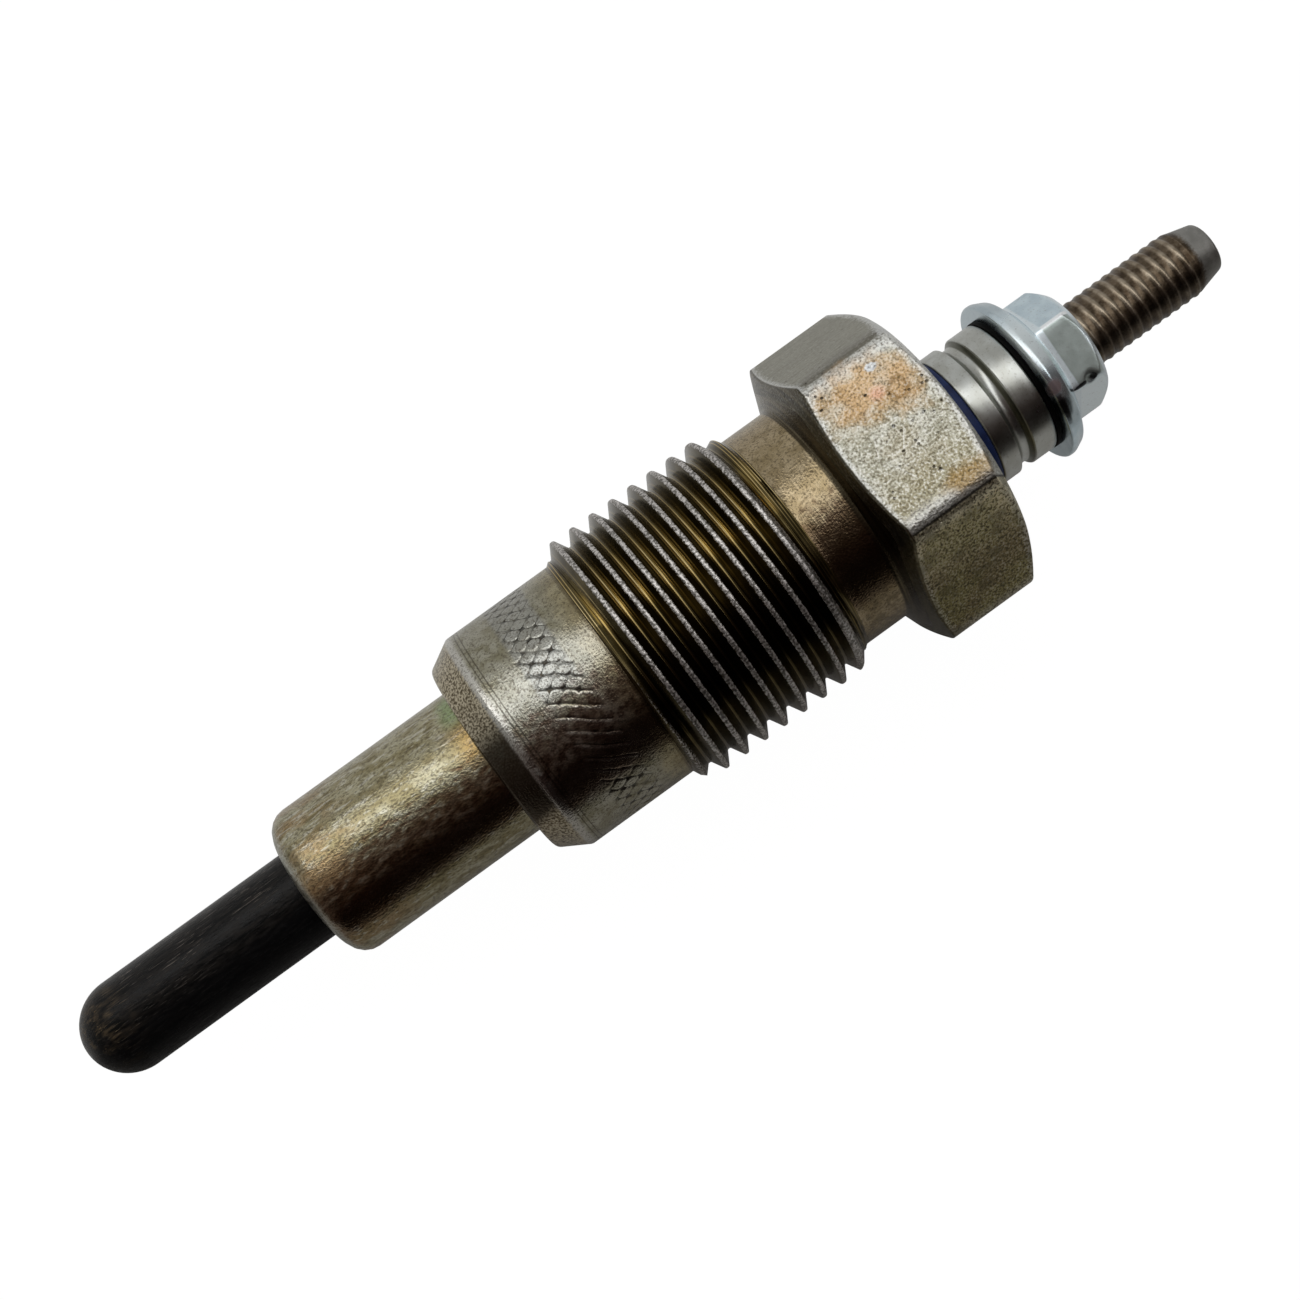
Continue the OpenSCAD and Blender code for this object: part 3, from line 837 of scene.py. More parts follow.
# %% Hexagon finish
NECK_R = 7.8
HEX_X = 26.35
HEX_FRONT_SLOPE = math.tan(math.radians(22))
HEX_REAR_SLOPE = math.tan(math.radians(28))
HEX_FACE_R = 9.2
HEX_CORNER_R = 10.725
HEX_EDGE_Y = HEX_CORNER_R / 2
STAINS = (
    ((30.2, 3.3, HEX_FLAT_R), (2.7, 2.1, 2.0)),
    ((32.5, 2.5, HEX_FLAT_R), (1.5, 2.2, 2.0)),
    ((32.4, -4.5, HEX_FLAT_R), (1.9, 0.9, 1.5)),
)
PINK_SPOT = ((31.1, 2.6, HEX_FLAT_R), (0.7, 0.6, 1.0))
TIDE_MARK = ((32.3, 2.2, HEX_FLAT_R), (0.62, 0.62, 1.0))
DING = ((31.75, 4.1, HEX_FLAT_R), (0.42, 0.28, 1.0))
PITS = ((28.35, 4.3), (27.9, 3.7), (30.46, 2.9), (32.6, 0.1), (30.67, 0.45), (30.24, -1.1), (31.3, -3.2))
PIT_SIZE = (0.11, 0.09, 1.0)
SCRATCHES = (((29.1, 0.0), 66), ((30.7, -0.5), 54), ((29.6, -2.2), 115))
SCRATCH_HALF = (0.95, 0.035)
FLAT_Z = (9.3, 9.45)


def scratch(at, place, degrees, ragged):
    """1 on one straight scratch across the flat, broken up by the ragged noise."""
    run, rise = math.cos(math.radians(degrees)), math.sin(math.radians(degrees))
    right, up = at.x - place[0], at.y - place[1]
    lengthwise = (right * run + up * rise).math("ABSOLUTE") / SCRATCH_HALF[0]
    across = (up * run - right * rise).math("ABSOLUTE") / SCRATCH_HALF[1]
    line = lengthwise.between(1.0, 0.6) * (across + ragged.swing(3)).between(1.3, 0.7)
    return line * at.z.between(*FLAT_Z)


def hexagon_sockets(at):
    """Speckled flats with rust, scratches and pits; the sides are brushed or brown, and the lower facet
    has painted shade.
    """
    drift = at.grain(1.1, 6)
    cloud = at.grain(2.6, 4)
    speckle = at.grain(0.15, 4)
    lines = at.grain(0.10, 2, stretch=(30, 1, 1))
    turning = at.grain(0.10, 2, stretch=(1, 40, 40))
    upper = at.y.between(HEX_EDGE_Y - 0.05, HEX_EDGE_Y + 0.15)
    lower = at.y.between(0.05 - HEX_EDGE_Y, -0.15 - HEX_EDGE_Y)
    base = mix(drift.between(0.32, 0.68), colour(0.46, 0.445, 0.35), colour(0.69, 0.68, 0.59))
    base = mix(cloud.between(0.50, 0.66) * 0.45, base, colour(0.40, 0.33, 0.19))
    brushed = mix(lines.between(0.35, 0.65), colour(0.27, 0.262, 0.215), colour(0.36, 0.352, 0.295))
    base = mix(upper, base, brushed)
    foot = upper * at.y.between(HEX_EDGE_Y + 1.3, HEX_EDGE_Y + 0.2)
    base = mix(foot * 0.6, base, colour(0.15, 0.138, 0.115))
    # Painted shade: the lower facet is pale near its upper edge and darker further down.
    painted_shade_down = at.y.between(-HEX_EDGE_Y, -HEX_EDGE_Y - 3.4)
    base = mix(at.y.between(-1.2, -3.4) * 0.65, base, colour(0.38, 0.335, 0.20))
    brown = mix(painted_shade_down, colour(0.98, 0.86, 0.53), colour(0.29, 0.23, 0.105))
    base = mix(lower, base, mix(cloud.between(0.42, 0.62) * 0.5, brown, colour(0.36, 0.33, 0.12)))
    front_gap = at.x - HEX_X - (at.radius - NECK_R) * HEX_FRONT_SLOPE
    rear_gap = SHELL_REAR - at.x - (at.radius - HEX_FACE_R) * HEX_REAR_SLOPE
    rim = (front_gap.min(rear_gap) + speckle.swing(0.9)).between(0.55, 0.10)
    corner = (at.radius + speckle.swing(0.8)).between(HEX_CORNER_R - 0.36, HEX_CORNER_R - 0.08)
    front_cone = front_gap.between(0.16, 0.06)
    worn = rim.max(corner * (1 - upper)) * (1 - front_cone) * (1 - lower * 0.6)
    base = mix(worn * 0.7, base, colour(0.78, 0.79, 0.78))
    stain = at.spots(STAINS, drift.swing(1.4), 1.25, 0.35)
    rust = mix(cloud.between(0.36, 0.60), colour(0.72, 0.48, 0.25), colour(0.55, 0.31, 0.10))
    rust = mix(at.y.between(-3.0, -3.8), rust, colour(0.40, 0.26, 0.09))
    base = mix(stain * 0.85, base, rust)
    base = mix(at.spots((PINK_SPOT,), 0.0, 1.1, 0.2) * 0.6, base, colour(0.85, 0.46, 0.34))
    tide = at.near(*TIDE_MARK) + drift.swing(1.0)
    base = mix(tide.window(0.62, 0.92, 1.02, 1.30) * 0.65, base, colour(0.27, 0.155, 0.05))
    base = mix(front_cone * 0.9, base, cone_rings(turning))
    base = mix(at.spots((DING,), speckle.swing(1.0), 1.1, 0.7), base, colour(0.68, 0.70, 0.72))
    for place, degrees in SCRATCHES:
        base = mix(scratch(at, place, degrees, speckle) * 0.6, base, colour(0.88, 0.87, 0.82))
    pit_patches = [((x, y, HEX_FLAT_R), PIT_SIZE) for x, y in PITS]
    pit = at.spots(pit_patches, speckle.swing(2), 1.1, 0.5)
    pit = pit.max(at.pits(0.6).between(0.16, 0.07) * cloud.between(0.48, 0.60) * 0.8)
    base = mix(pit * 0.9, base, colour(0.03, 0.025, 0.02))
    grainy = 1 - 0.8 * upper.max(front_cone)
    base = mix(speckle.between(0.47, 0.70) * grainy * 0.75, base, colour(0.11, 0.09, 0.05))
    bright = speckle.between(0.50, 0.32) * grainy * (1 - lower * 0.6) * (1 - stain * 0.6)
    base = mix(bright * 0.75, base, colour(0.90, 0.89, 0.83))
    blotch = lower * (drift.between(0.50, 0.64) * 0.45).max(speckle.between(0.44, 0.64) * 0.7)
    base = mix(blotch, base, colour(0.07, 0.06, 0.028))
    from_edge = at.y + HEX_EDGE_Y
    edge = (from_edge + speckle.swing(0.3)).between(0.06, -0.03) * from_edge.between(-0.18, -0.08)
    base = mix(edge * (1 - front_cone) * 0.9, base, colour(0.025, 0.022, 0.016))
    return {
        "Base Color": base,
        "Roughness": 0.36 + drift * 0.10 - front_cone * 0.12,
        "Metallic": 1.0,
        "Normal": relief(speckle * grainy + lines * 0.3 - pit * 1.5, 0.055),
    }


HEXAGON = make_finish("stained_hexagon", hexagon_sockets)
SHELL_FINISHES = [NOSE, LAND, THREAD, NECK, HEXAGON]
NOSE_SLOT, LAND_SLOT, THREAD_SLOT, NECK_SLOT, HEX_SLOT = range(len(SHELL_FINISHES))
print("shell finishes:", [finish.name for finish in SHELL_FINISHES])

# %% [markdown]
# ## The shell itself
# All lengths of the shell share the same columns round the axis, set closer together at the corners
# of the hexagon. The thread's rows follow the helix and slip by one pitch where the turn closes.
# The knurl was rolled in as two crossing sets of fine grooves, so that band has finer columns.

# %% Columns of the shell
FLAT_TURN = 60
FLAT_OFFSETS = np.linspace(-26.5, 26.5, 27)
CORNER_OFFSETS = np.array([27.4, 28.1, 28.75, 29.4])
sector = np.concatenate([-CORNER_OFFSETS[::-1], FLAT_OFFSETS, CORNER_OFFSETS, [FLAT_TURN / 2]])
shell_degrees = np.concatenate([sector + FLAT_TURN * side for side in range(6)])
shell_angles = np.radians(shell_degrees)
KNURL_RATIO = 4
knurl_degrees = np.interp(
    np.arange(len(shell_degrees) * KNURL_RATIO) / KNURL_RATIO,
    np.arange(len(shell_degrees) + 1),
    np.append(shell_degrees, shell_degrees[0] + 360),
)
knurl_angles = np.radians(knurl_degrees)
print(len(shell_angles), "columns,", len(knurl_angles), "in the knurl")

# %% Nose, seat and land
PRESS_GAP = 0.01
TUBE_HOLE_R = TUBE_R + PRESS_GAP
NOSE_R = 5.2
SEAT_R = 6.725
SHOULDER_R = NOSE_R + 0.5
SEAT_REAR = (LAND_R - SEAT_R) / math.tan(math.radians(30))
BAND_GAP = 0.08
THREAD_START = 9.65
THREAD_REAR = 23.1

shell = Skin()
nose_rows = rounded([
    (SHELL_FRONT, TUBE_HOLE_R),
    (SHELL_FRONT, NOSE_R, 1.4),
    (0, NOSE_R, 0.12),
    (0, SHOULDER_R),
], step=0.9)
shell.add(turned(nose_rows, shell_angles), finish=NOSE_SLOT)
land_rows = rounded([
    (0, SHOULDER_R),
    (0, SEAT_R, 0.5),
    (SEAT_REAR, LAND_R, 0.5),
    (KNURL_X[0] - BAND_GAP, LAND_R),
], step=0.6)
shell.add(turned(land_rows, shell_angles), finish=LAND_SLOT)
after_rows = rounded([(KNURL_X[1] + BAND_GAP, LAND_R), (THREAD_START, LAND_R)], step=0.6)
shell.add(turned(after_rows, shell_angles), finish=LAND_SLOT)
print("nose and land rows:", len(nose_rows), len(land_rows))

# %% Knurled band
KNURL_DEPTH = 0.060
KNURL_WORN_DEPTH = 0.45
KNURL_EDGE = 0.20
KNURL_FADE = 0.35
KNURL_PRESS = (0.70, 0.30)
KNURL_ROWS = 48


def knurl_radius(x, angles):
    """Radius of the land where crossing grooves leave rounded cells, uneven and fading out at the ends."""
    arc = LAND_R * angles
    wander = sum(swing * np.sin(turns * angles + rate * x) for turns, rate, swing in KNURL_WAVES)
    worn_away = np.interp(angles, KNURL_WORN, (0, 1, 1, 0))
    reach = 0
    for lean, weight in ((-1, 1.0), (1, KNURL_SECOND - KNURL_LOST * worn_away)):
        place = (arc * math.cos(KNURL_LEAN) + lean * x * math.sin(KNURL_LEAN)) / KNURL_SPACING + wander
        reach = reach + weight * np.abs(2 * (place - np.floor(place)) - 1) ** KNURL_POWER
    rise = np.clip((1 - reach ** (1 / KNURL_POWER)) / KNURL_EDGE, 0, 1)
    groove = 1 - rise * rise * (3 - 2 * rise)
    ends = np.clip(np.minimum(x - KNURL_X[0], KNURL_X[1] - x) / KNURL_FADE, 0, 1)
    press = KNURL_PRESS[0] + KNURL_PRESS[1] * np.sin(3 * angles + 1.1 * x) * np.cos(7 * angles - 0.6)
    return LAND_R - KNURL_DEPTH * groove * ends * press * (1 - KNURL_WORN_DEPTH * worn_away)


knurl_x = np.linspace(*KNURL_X, KNURL_ROWS)[:, None]
knurl_rows = np.stack(np.broadcast_arrays(knurl_x, knurl_radius(knurl_x, knurl_angles)), -1)
shell.add(turned(knurl_rows, knurl_angles), finish=LAND_SLOT)
knurl_ends = ((KNURL_X[0] - BAND_GAP, knurl_rows[:1]), (KNURL_X[1] + BAND_GAP, knurl_rows[-1:]))
for end_x, knurl_ring in knurl_ends:
    plain_ring = turned(np.array([[[end_x, LAND_R]]]), shell_angles)[0]
    shell.bridge(plain_ring, turned(knurl_ring, knurl_angles)[0], finish=LAND_SLOT)
print("knurl spans", KNURL_X, "mm")

# %% Main thread
# Largest radius along the thread: the lead-in chamfer at its front and the run-out into the neck.
THREAD_LIMIT = (
    (THREAD_START, LAND_R),
    (9.8, 8.25),
    (10.6, THREAD_CREST_R),
    (21.7, THREAD_CREST_R),
    (22.0, 8.85),
    (22.6, 8.35),
    (22.95, 7.86),
    (THREAD_REAR, NECK_R),
)


def tooth_outline(pitch, crest_r, root_r, crest_half, crest_round, root_round, lean=30):
    """One pitch of a thread from root to root, as rows (x, r); lean is the flanks' angle in degrees."""
    run = (crest_r - root_r) * math.tan(math.radians(lean))
    return rounded([
        (-pitch / 2, root_r),
        (-crest_half - run, root_r, root_round),
        (-crest_half, crest_r, crest_round),
        (crest_half, crest_r, crest_round),
        (crest_half + run, root_r, root_round),
        (pitch / 2, root_r),
    ], steps=2)[:, 0]


def helix_rows(tooth, pitch, crest_x, first_x, last_x, limit, degrees):
    """Rows that wind round the axis between two ends; limit lists the largest radius along x."""
    first_turn = math.floor((first_x - crest_x) / pitch) - 1
    turns = np.arange(first_turn, math.ceil((last_x - crest_x) / pitch) + 1)
    x = np.concatenate([tooth[:-1, 0] + pitch * turn for turn in turns])
    r = np.tile(tooth[:-1, 1], len(turns))
    x = crest_x + x[:, None] + pitch * degrees / 360
    x = np.clip(x, first_x, last_x)
    return np.stack([x, np.minimum(r[:, None], np.interp(x, *zip(*limit)))], -1)


tooth = tooth_outline(
    THREAD_PITCH, THREAD_CREST_R, THREAD_ROOT_R, crest_half=0.125, crest_round=0.12, root_round=0.10
)
thread_rows = helix_rows(
    tooth, THREAD_PITCH, THREAD_FIRST_CREST, THREAD_START, THREAD_REAR, THREAD_LIMIT, shell_degrees
)
shell.add(turned(thread_rows, shell_angles), finish=THREAD_SLOT, seam=len(tooth) - 1)
print(len(tooth) - 1, "rows to a pitch,", len(thread_rows), "rows in all")

# %% Neck, hexagon and bore
POCKET_R = 4.2
POCKET_X = SHELL_REAR - 5.2
BORE_R = 3.6
PRESS_REAR = 5.0


def hex_radius(degrees, flat_r, corner_r, softness):
    """Radius of a hexagon with turned corners; softness rounds the line where both meet."""
    offset = np.radians((degrees + FLAT_TURN / 2) % FLAT_TURN - FLAT_TURN / 2)
    flat = flat_r / np.cos(offset)
    return -softness * np.log(np.exp(-flat / softness) + np.exp(-corner_r / softness))


hex_r = hex_radius(shell_degrees, HEX_FLAT_R, HEX_CORNER_R, softness=0.03)
hex_front = HEX_X + (hex_r - NECK_R) * HEX_FRONT_SLOPE
hex_rear = SHELL_REAR - (hex_r - HEX_FACE_R) * HEX_REAR_SLOPE
neck_rows = rounded([
    (THREAD_REAR, NECK_R),
    (HEX_X, NECK_R, 0.4),
    ((hex_front + HEX_X) / 2, (hex_r + NECK_R) / 2),
], step=0.5)
hex_rows = rounded([
    ((hex_front + HEX_X) / 2, (hex_r + NECK_R) / 2),
    (hex_front, hex_r, 0.18),
    (hex_rear, hex_r, 0.16),
    (SHELL_REAR, HEX_FACE_R, 0.2),
    (SHELL_REAR, POCKET_R, 0.15),
    (POCKET_X, POCKET_R),
], step=0.45)
bore_rows = rounded([
    (POCKET_X, POCKET_R),
    (POCKET_X, BORE_R),
    (PRESS_REAR, BORE_R),
    (PRESS_REAR, TUBE_HOLE_R),
    (SHELL_FRONT, TUBE_HOLE_R),
])
for rows, finish in ((neck_rows, NECK_SLOT), (hex_rows, HEX_SLOT), (bore_rows, NECK_SLOT)):
    shell.add(turned(rows, shell_angles), finish=finish)
make_piece("steel_shell", shell, "body_shell", SHELL_FINISHES)

# %% [markdown]
# ## Insulator, collar and washer
# Behind the hexagon a blue insulating bush keeps the live stud off the shell. A nickelled collar with
# a round groove clamps it, and a thin black washer sits under the nut. All three are plain turned
# parts, so their outlines are repeated from the frame with softened edges.

# %% Insulator, collar and washer finishes
GROOVE_WALL_X = 38.24


def collar_sockets(at):
    """Clean nickel, with painted shade on the lower side and a painted shadow along the groove's rear
    wall.
    """
    mottle = at.grain(1.1, 3)
    turning = at.grain(0.08, 2, stretch=(1, 50, 50))
    speckle = at.grain(0.15, 2)
    base = mix(mottle.between(0.3, 0.7), colour(0.44, 0.445, 0.41), colour(0.55, 0.565, 0.54))
    # Painted shade: the lower side is darkened a little.
    painted_shade_below = (at.y + mottle.swing(3)).between(-2.0, -3.4)
    base = mix(painted_shade_below * 0.10, base, colour(0.26, 0.25, 0.20))
    # Painted shadow along the groove's rear wall.
    wall = (at.x - GROOVE_WALL_X).window(-0.10, 0, 0.20, 0.26)
    base = mix(wall * 0.85, base, colour(0.055, 0.055, 0.032))
    base = mix(speckle.between(0.58, 0.72) * 0.4, base, colour(0.22, 0.20, 0.16))
    return {
        "Base Color": base,
        "Roughness": 0.25 + mottle * 0.08,
        "Metallic": 1.0,
        "Normal": relief(turning + speckle * 0.3, 0.006),
    }


NICKEL = make_finish("nickel_collar", collar_sockets)
BLUE = mottled_finish(
    "blue_bush", 0.8, 3, (colour(0.006, 0.013, 0.060), colour(0.012, 0.027, 0.105)),
    roughness=(0.45, 0.15), bump=0.01, constants={"Specular IOR Level": 0.25},
)
BLACK = mottled_finish(
    "black_washer", 0.5, 3, (colour(0.0008, 0.0008, 0.0008), colour(0.003, 0.0028, 0.0026)),
    roughness=(0.5, 0.2), bump=0.01, constants={"Specular IOR Level": 0.08},
)

# %% Insulator, collar and washer
STUD_R = 2.27
ROD_R = 2.1
CLEARANCE = 0.04
LOOSE_HOLE_R = STUD_R + CLEARANCE
CLOSE_HOLE_R = ROD_R + CLEARANCE
bush_front, bush_rear, bush_r = span("insulating_bush")
collar_front, collar_rear, collar_r = span("terminal_collar")
washer_front, washer_rear, washer_r = span("terminal_washer")
BARREL_R = POCKET_R - CLEARANCE
GROOVE_HALF = 0.55
GROOVE_DEPTH = 0.40
GROOVE_R = (GROOVE_HALF**2 + GROOVE_DEPTH**2) / 2 / GROOVE_DEPTH
GROOVE_X = collar_front + 1.9
GROOVE_LIP = GROOVE_HALF + 0.03

revolve("blue_bush", [
    (bush_front, LOOSE_HOLE_R),
    (bush_front, BARREL_R, 0.15),
    (SHELL_REAR, BARREL_R),
    (SHELL_REAR, bush_r, 0.1),
    (bush_rear, bush_r, 0.2),
    (bush_rear, LOOSE_HOLE_R),
    (bush_front, LOOSE_HOLE_R),
], "insulating_bush", BLUE)

groove_swing = math.asin(GROOVE_HALF / GROOVE_R)
groove_turn = np.linspace(-groove_swing, groove_swing, 17)[1:-1]
groove_foot = collar_r - GROOVE_DEPTH + GROOVE_R
groove = [(GROOVE_X + GROOVE_R * math.sin(t), groove_foot - GROOVE_R * math.cos(t)) for t in groove_turn]
revolve("grooved_collar", [
    (collar_front, CLOSE_HOLE_R),
    (collar_front, collar_r, 0.15),
    (GROOVE_X - GROOVE_LIP, collar_r, 0.05),
    *groove,
    (GROOVE_X + GROOVE_LIP, collar_r, 0.05),
    (collar_rear, collar_r, 0.18),
    (collar_rear, CLOSE_HOLE_R),
    (collar_front, CLOSE_HOLE_R),
], "terminal_collar", NICKEL, step=0.5)

revolve("black_washer", [
    (washer_front, LOOSE_HOLE_R),
    (washer_front, washer_r, 0.08),
    (washer_rear, washer_r, 0.08),
    (washer_rear, LOOSE_HOLE_R),
    (washer_front, LOOSE_HOLE_R),
], "terminal_washer", BLACK)

# %% [markdown]
# ## Flange nut
# The nut is the newest part: bright zinc with a cool blue tint. Its flange is turned, and a cone
# carries it into the hexagon, so the same per-column outline as the shell's hexagon makes both.
# One corner was hit by a spanner; that dent is pressed into the mesh, and paint only darkens it.

# %% Nut finish
NUT_FRONT, NUT_REAR, FLANGE_R = span("flange_nut")
NUT_FLAT_R = 3.775
NUT_CORNER_R = 4.30
NUT_TURN = 15.7
NUT_FACE_R = 3.59
FLANGE_RIM = 0.40
FLANGE_FALL = (1.10, 0.34)
NUT_LANDING_X = NUT_FRONT + 1.6
LANDING_R = 4.50
NUT_CHAMFER_SLOPE = math.tan(math.radians(44))
DENT_ANGLE = math.radians(NUT_TURN + 30)
DENT_CENTRE = (43.55, -NUT_CORNER_R * math.sin(DENT_ANGLE), NUT_CORNER_R * math.cos(DENT_ANGLE))
DENT_HALF = (0.52, 0.42, 0.42)
DENT_DEPTH = 0.28
BRUISE = ((DENT_CENTRE[0] + 0.12, *DENT_CENTRE[1:]), (0.36, 0.32, 0.32))
NICK_CENTRE = (42.9, *DENT_CENTRE[1:])
NICK_HALF = (0.75, 0.16, 0.16)
PAINTED_PINK_REFLECTION_PATCH = ((40.8, -2.5, 4.9), (0.6, 0.6, 1.2))
PAINTED_SHADE_PATCH = ((40.85, -3.7, 4.1), (0.6, 0.75, 1.0))


def nut_sockets(at):
    """Blue-white zinc and the dark dent, with painted shade, highlights and reflections on the flange and
    flats.
    """
    mottle = at.grain(0.9, 3)
    speckle = at.grain(0.14, 3)
    base = mix(mottle.between(0.3, 0.7), colour(0.58, 0.70, 0.77), colour(0.70, 0.82, 0.88))
    from_landing, to_rear = at.x - NUT_LANDING_X, NUT_REAR - at.x
    sides = from_landing.between(-0.05, 0.05)
    flats = from_landing.between(0.50, 0.64) * to_rear.between(0.15, 0.40)
    # The flat turned towards the top is painted a greyer, darker zinc.
    facing = flats * at.y.window(-3.25, -2.95, 0.95, 1.25) * at.z.between(0, 1)
    dull = mix(mottle.between(0.3, 0.7), colour(0.42, 0.48, 0.46), colour(0.50, 0.57, 0.55))
    base = mix(facing, base, dull)
    chamfer = to_rear.between(0.45, 0.15).max(from_landing.between(-0.05, 0) * (1 - flats))
    base = mix(chamfer * 0.8, base, colour(0.86, 0.94, 0.98))
    flange = from_landing.between(0, -0.2)
    # Painted shade: the flange is darker towards the top.
    base = mix(flange * at.y.between(2.4, 3.8) * 0.6, base, colour(0.42, 0.48, 0.51))
    # Painted highlight: a pale band across the middle of the flange.
    painted_flange_highlight = flange * at.y.window(-1.9, -0.5, 1.4, 3.8)
    base = mix(painted_flange_highlight * 0.9, base, colour(0.90, 0.98, 1.0))
    # Painted highlight: a white line along the upper edge of the flat turned towards the top.
    painted_edge_highlight = flats * at.y.window(0.90, 1.02, 1.16, 1.26) * at.z.between(0, 1)
    base = mix(painted_edge_highlight, base, colour(0.95, 0.98, 1.0))
    # Painted reflection: the lower facet is painted pale, as if it mirrored the lit table.
    under = flats * at.y.between(-3.0, -3.3)
    base = mix(under, base, colour(0.88, 0.97, 1.0))
    # Painted reflection: a reddish patch on the flange.
    painted_pink_reflection = at.spots((PAINTED_PINK_REFLECTION_PATCH,), mottle.swing(0.8), 1.1, 0.6)
    base = mix(painted_pink_reflection * 0.8, base, colour(0.30, 0.18, 0.18))
    # Painted shade: a black patch on the flange.
    painted_shade = at.spots((PAINTED_SHADE_PATCH,), mottle.swing(0.8), 1.1, 0.6)
    base = mix(painted_shade * 0.85, base, colour(0.05, 0.065, 0.07))
    base = mix(speckle.between(0.60, 0.74) * 0.45, base, colour(0.30, 0.31, 0.31))
    bruise = at.spots((BRUISE,), speckle.swing(0.3), 1.05, 0.80)
    nick = at.spots(((NICK_CENTRE, NICK_HALF),), speckle.swing(0.5), 1.1, 0.7)
    base = mix(bruise.max(nick) * 0.92, base, colour(0.035, 0.035, 0.04))
    return {
        "Base Color": base,
        "Roughness": 0.17 + mottle * 0.08 + sides * 0.12 + painted_flange_highlight * 0.16,
        "Metallic": 1 - sides * 0.10 - painted_pink_reflection * 0.35 - painted_flange_highlight * 0.2 - painted_edge_highlight * 0.6,
        "Normal": relief(mottle + speckle * 0.4, 0.008),
    }


ZINC = make_finish("bright_zinc", nut_sockets)

# %% Flange nut
NUT_FLAT_OFFSETS = np.linspace(-27, 27, 19)
NUT_CORNER_OFFSETS = np.array([28, 28.8, 29.4, 30, 30.6, 31.2, 32])


def dent(grid, centre, half_sizes, depth):
    """Presses points near a place towards the axis."""
    reach = np.linalg.norm((grid - centre) / half_sizes, axis=-1)
    push = depth * np.clip(1 - reach**2, 0, 1) ** 2
    inward = grid * (0, -1, -1)
    length = np.maximum(np.linalg.norm(inward, axis=-1, keepdims=True), MM)
    return grid + push[..., None] * inward / length


nut_sector = np.concatenate([NUT_FLAT_OFFSETS, NUT_CORNER_OFFSETS])
nut_degrees = np.concatenate([nut_sector + FLAT_TURN * side for side in range(6)])
nut_r = hex_radius(nut_degrees, NUT_FLAT_R, NUT_CORNER_R, softness=0.04)
nut_rows = rounded([
    (NUT_FRONT, CLOSE_HOLE_R),
    (NUT_FRONT, FLANGE_R, 0.15),
    (NUT_FRONT + FLANGE_RIM, FLANGE_R, 0.45),
    (NUT_FRONT + FLANGE_FALL[0], FLANGE_R - FLANGE_FALL[1], 0.40),
    (NUT_LANDING_X, LANDING_R, 0.12),
    (NUT_LANDING_X, nut_r, 0.10),
    (NUT_REAR - (nut_r - NUT_FACE_R) * NUT_CHAMFER_SLOPE, nut_r, 0.28),
    (NUT_REAR, NUT_FACE_R, 0.12),
    (NUT_REAR, CLOSE_HOLE_R, 0.1),
    (NUT_FRONT, CLOSE_HOLE_R),
], step=0.2)
nut_grid = turned(nut_rows, np.radians(nut_degrees + NUT_TURN))
nut = Skin()
nut.add(dent(nut_grid, DENT_CENTRE, DENT_HALF, DENT_DEPTH))
make_piece("flange_nut_zinc", nut, "flange_nut", [ZINC])

# %% [markdown]
# ## Terminal stud
# The stud is one long rod: a spigot and pin inside the heater tube, a plain rod through the shell and
# a fine thread outside. Oil and heat have browned it. Its thread uses the same helix rows as the
# shell, and the plain tapered tip guides the terminal onto it.

# %% Stud finish
STUD_TIP_WORN = (53.7, 54.1)


def stud_sockets(at):
    """Browned steel with paler crests and a bare tip, a painted highlight above the middle and painted
    shade below.
    """
    mottle = at.grain(0.7, 4)
    speckle = at.grain(0.15, 3)
    crest = (at.radius + speckle.swing(0.05)).between(STUD_R - 0.085, STUD_R - 0.010)
    base = mix(mottle.between(0.32, 0.66), colour(0.050, 0.034, 0.021), colour(0.14, 0.105, 0.070))
    pale = mix(mottle.between(0.36, 0.62), colour(0.20, 0.155, 0.105), colour(0.38, 0.32, 0.245))
    # Painted highlight: the crests are paler in a band just above the middle.
    pale = mix(at.y.window(-0.5, 0.1, 0.7, 1.3) * 0.25, pale, colour(0.72, 0.62, 0.48))
    base = mix(crest * 0.85, base, pale)
    # Painted shade: the lower side is darker.
    base = mix(at.y.between(-0.9, -1.6) * 0.5, base, colour(0.045, 0.038, 0.03))
    tip = (at.x + speckle.swing(0.5)).between(*STUD_TIP_WORN)
    bare = mix(mottle.between(0.4, 0.65), colour(0.28, 0.277, 0.26), colour(0.34, 0.336, 0.32))
    base = mix(tip * 0.9, base, bare)
    return {
        "Base Color": base,
        "Roughness": 0.29 + mottle * 0.12 + tip * 0.13,
        "Metallic": 1.0,
        "Normal": relief(speckle, 0.010),
    }


BROWN = make_finish("brown_stud", stud_sockets)

# %% Terminal stud
STUD_FRONT, STUD_END, _ = span("terminal_stud")
STUD_PITCH = 0.75
STUD_ROOT_R = 2.195
STUD_CREST_SEEN = 47.02
STUD_FIRST_CREST = STUD_CREST_SEEN - STUD_PITCH * LEAN_DEGREES / 360
SPIGOT_R = 1.18
PIN_X = -13.1
PIN_R = 1.5
ROD_X = 9.3
STUD_TAPER_X = 53.35
STUD_THREAD_REAR = 53.95
STUD_TIP_R = 1.7
STUD_TIP_ROUND = 0.25
STUD_TIP_X = STUD_END - STUD_TIP_ROUND
STUD_TAPER = (STUD_R - STUD_TIP_R) / (STUD_TIP_X - STUD_TAPER_X)
STUD_THREAD_END_R = STUD_R - (STUD_THREAD_REAR - STUD_TAPER_X) * STUD_TAPER
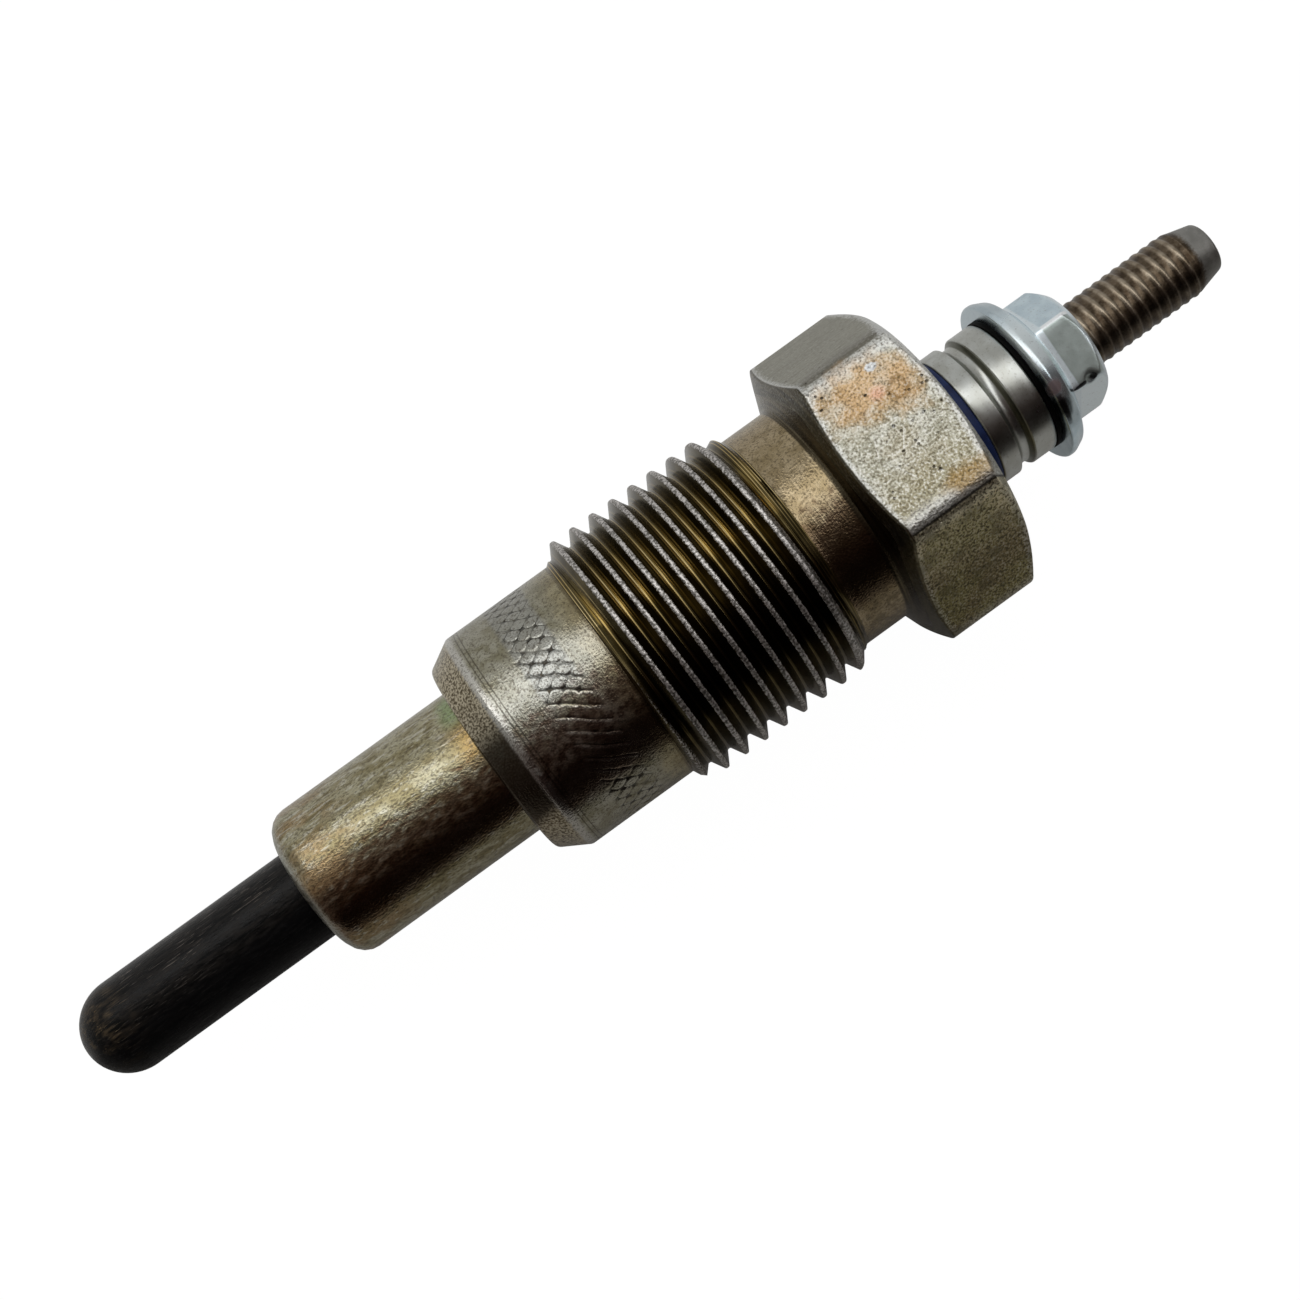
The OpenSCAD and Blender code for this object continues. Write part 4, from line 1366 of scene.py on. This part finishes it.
# Start of the thread at the nut, and its end on the tapered tip.
STUD_LIMIT = (
    (NUT_REAR, ROD_R),
    (NUT_REAR + 0.15, STUD_R),
    (STUD_TAPER_X, STUD_R),
    (STUD_THREAD_REAR, STUD_THREAD_END_R),
)
STUD_COLUMNS = 120

stud_angles = round_angles(STUD_COLUMNS)
stud = Skin()
stud.add(turned(rounded([
    (STUD_FRONT, 0),
    (STUD_FRONT, SPIGOT_R),
    (PIN_X, SPIGOT_R),
    (PIN_X, PIN_R),
    (ROD_X, PIN_R),
    (ROD_X, ROD_R),
    (NUT_REAR, ROD_R),
]), stud_angles))
stud_tooth = tooth_outline(
    STUD_PITCH, STUD_R, STUD_ROOT_R, crest_half=0.05, crest_round=0.14, root_round=0.26, lean=66
)
stud_degrees = np.degrees(stud_angles)
stud_thread = helix_rows(
    stud_tooth, STUD_PITCH, STUD_FIRST_CREST, NUT_REAR, STUD_THREAD_REAR, STUD_LIMIT, stud_degrees
)
stud_thread[stud_thread[..., 0] >= STUD_THREAD_REAR, 1] = STUD_THREAD_END_R
stud_thread[stud_thread[..., 0] <= NUT_REAR, 1] = ROD_R
stud.add(turned(stud_thread, stud_angles), seam=len(stud_tooth) - 1)
stud.add(turned(rounded([
    (STUD_THREAD_REAR, STUD_THREAD_END_R),
    (STUD_END, STUD_TIP_R, STUD_TIP_ROUND),
    (STUD_END, 0),
], step=0.4), stud_angles))
make_piece("threaded_stud", stud, "terminal_stud", [BROWN])

# %% [markdown]
# ## What the shell hides
# The coils, the packed powder and the two seals never show, but a cut-away of the part would. They
# stay as the CAD drew them and only get their own finishes.

# %% Hidden pieces
WIRE = mottled_finish(
    "coil_wire", 0.2, 3, (colour(0.36, 0.32, 0.27), colour(0.50, 0.46, 0.40)),
    roughness=(0.3, 0.2), constants={"Metallic": 1.0},
)
POWDER = mottled_finish(
    "packed_powder", 0.15, 4, (colour(0.66, 0.64, 0.58), colour(0.82, 0.80, 0.75)),
    roughness=(0.85, 0.1), bump=0.03,
)
RUBBER = mottled_finish(
    "seal_rubber", 0.4, 3, (colour(0.010, 0.010, 0.010), colour(0.024, 0.022, 0.021)),
    roughness=(0.55, 0.2), bump=0.01,
)
HIDDEN = {
    "heating_coil": (WIRE, "coil_wire"),
    "control_coil": (WIRE, "coil_wire"),
    "magnesia_fill": (POWDER, "packed_powder"),
    "tube_seal": (RUBBER, "seal_rubber"),
    "shell_seal": (RUBBER, "seal_rubber"),
}
for node, (material, slot) in HIDDEN.items():
    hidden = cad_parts[node]
    hidden.data.materials.clear()
    hidden.data.materials.append(material)
print("hidden pieces painted:", list(HIDDEN))

# %% [markdown]
# ## Sizes and the end
# The dressed plug may not outgrow the CAD model.
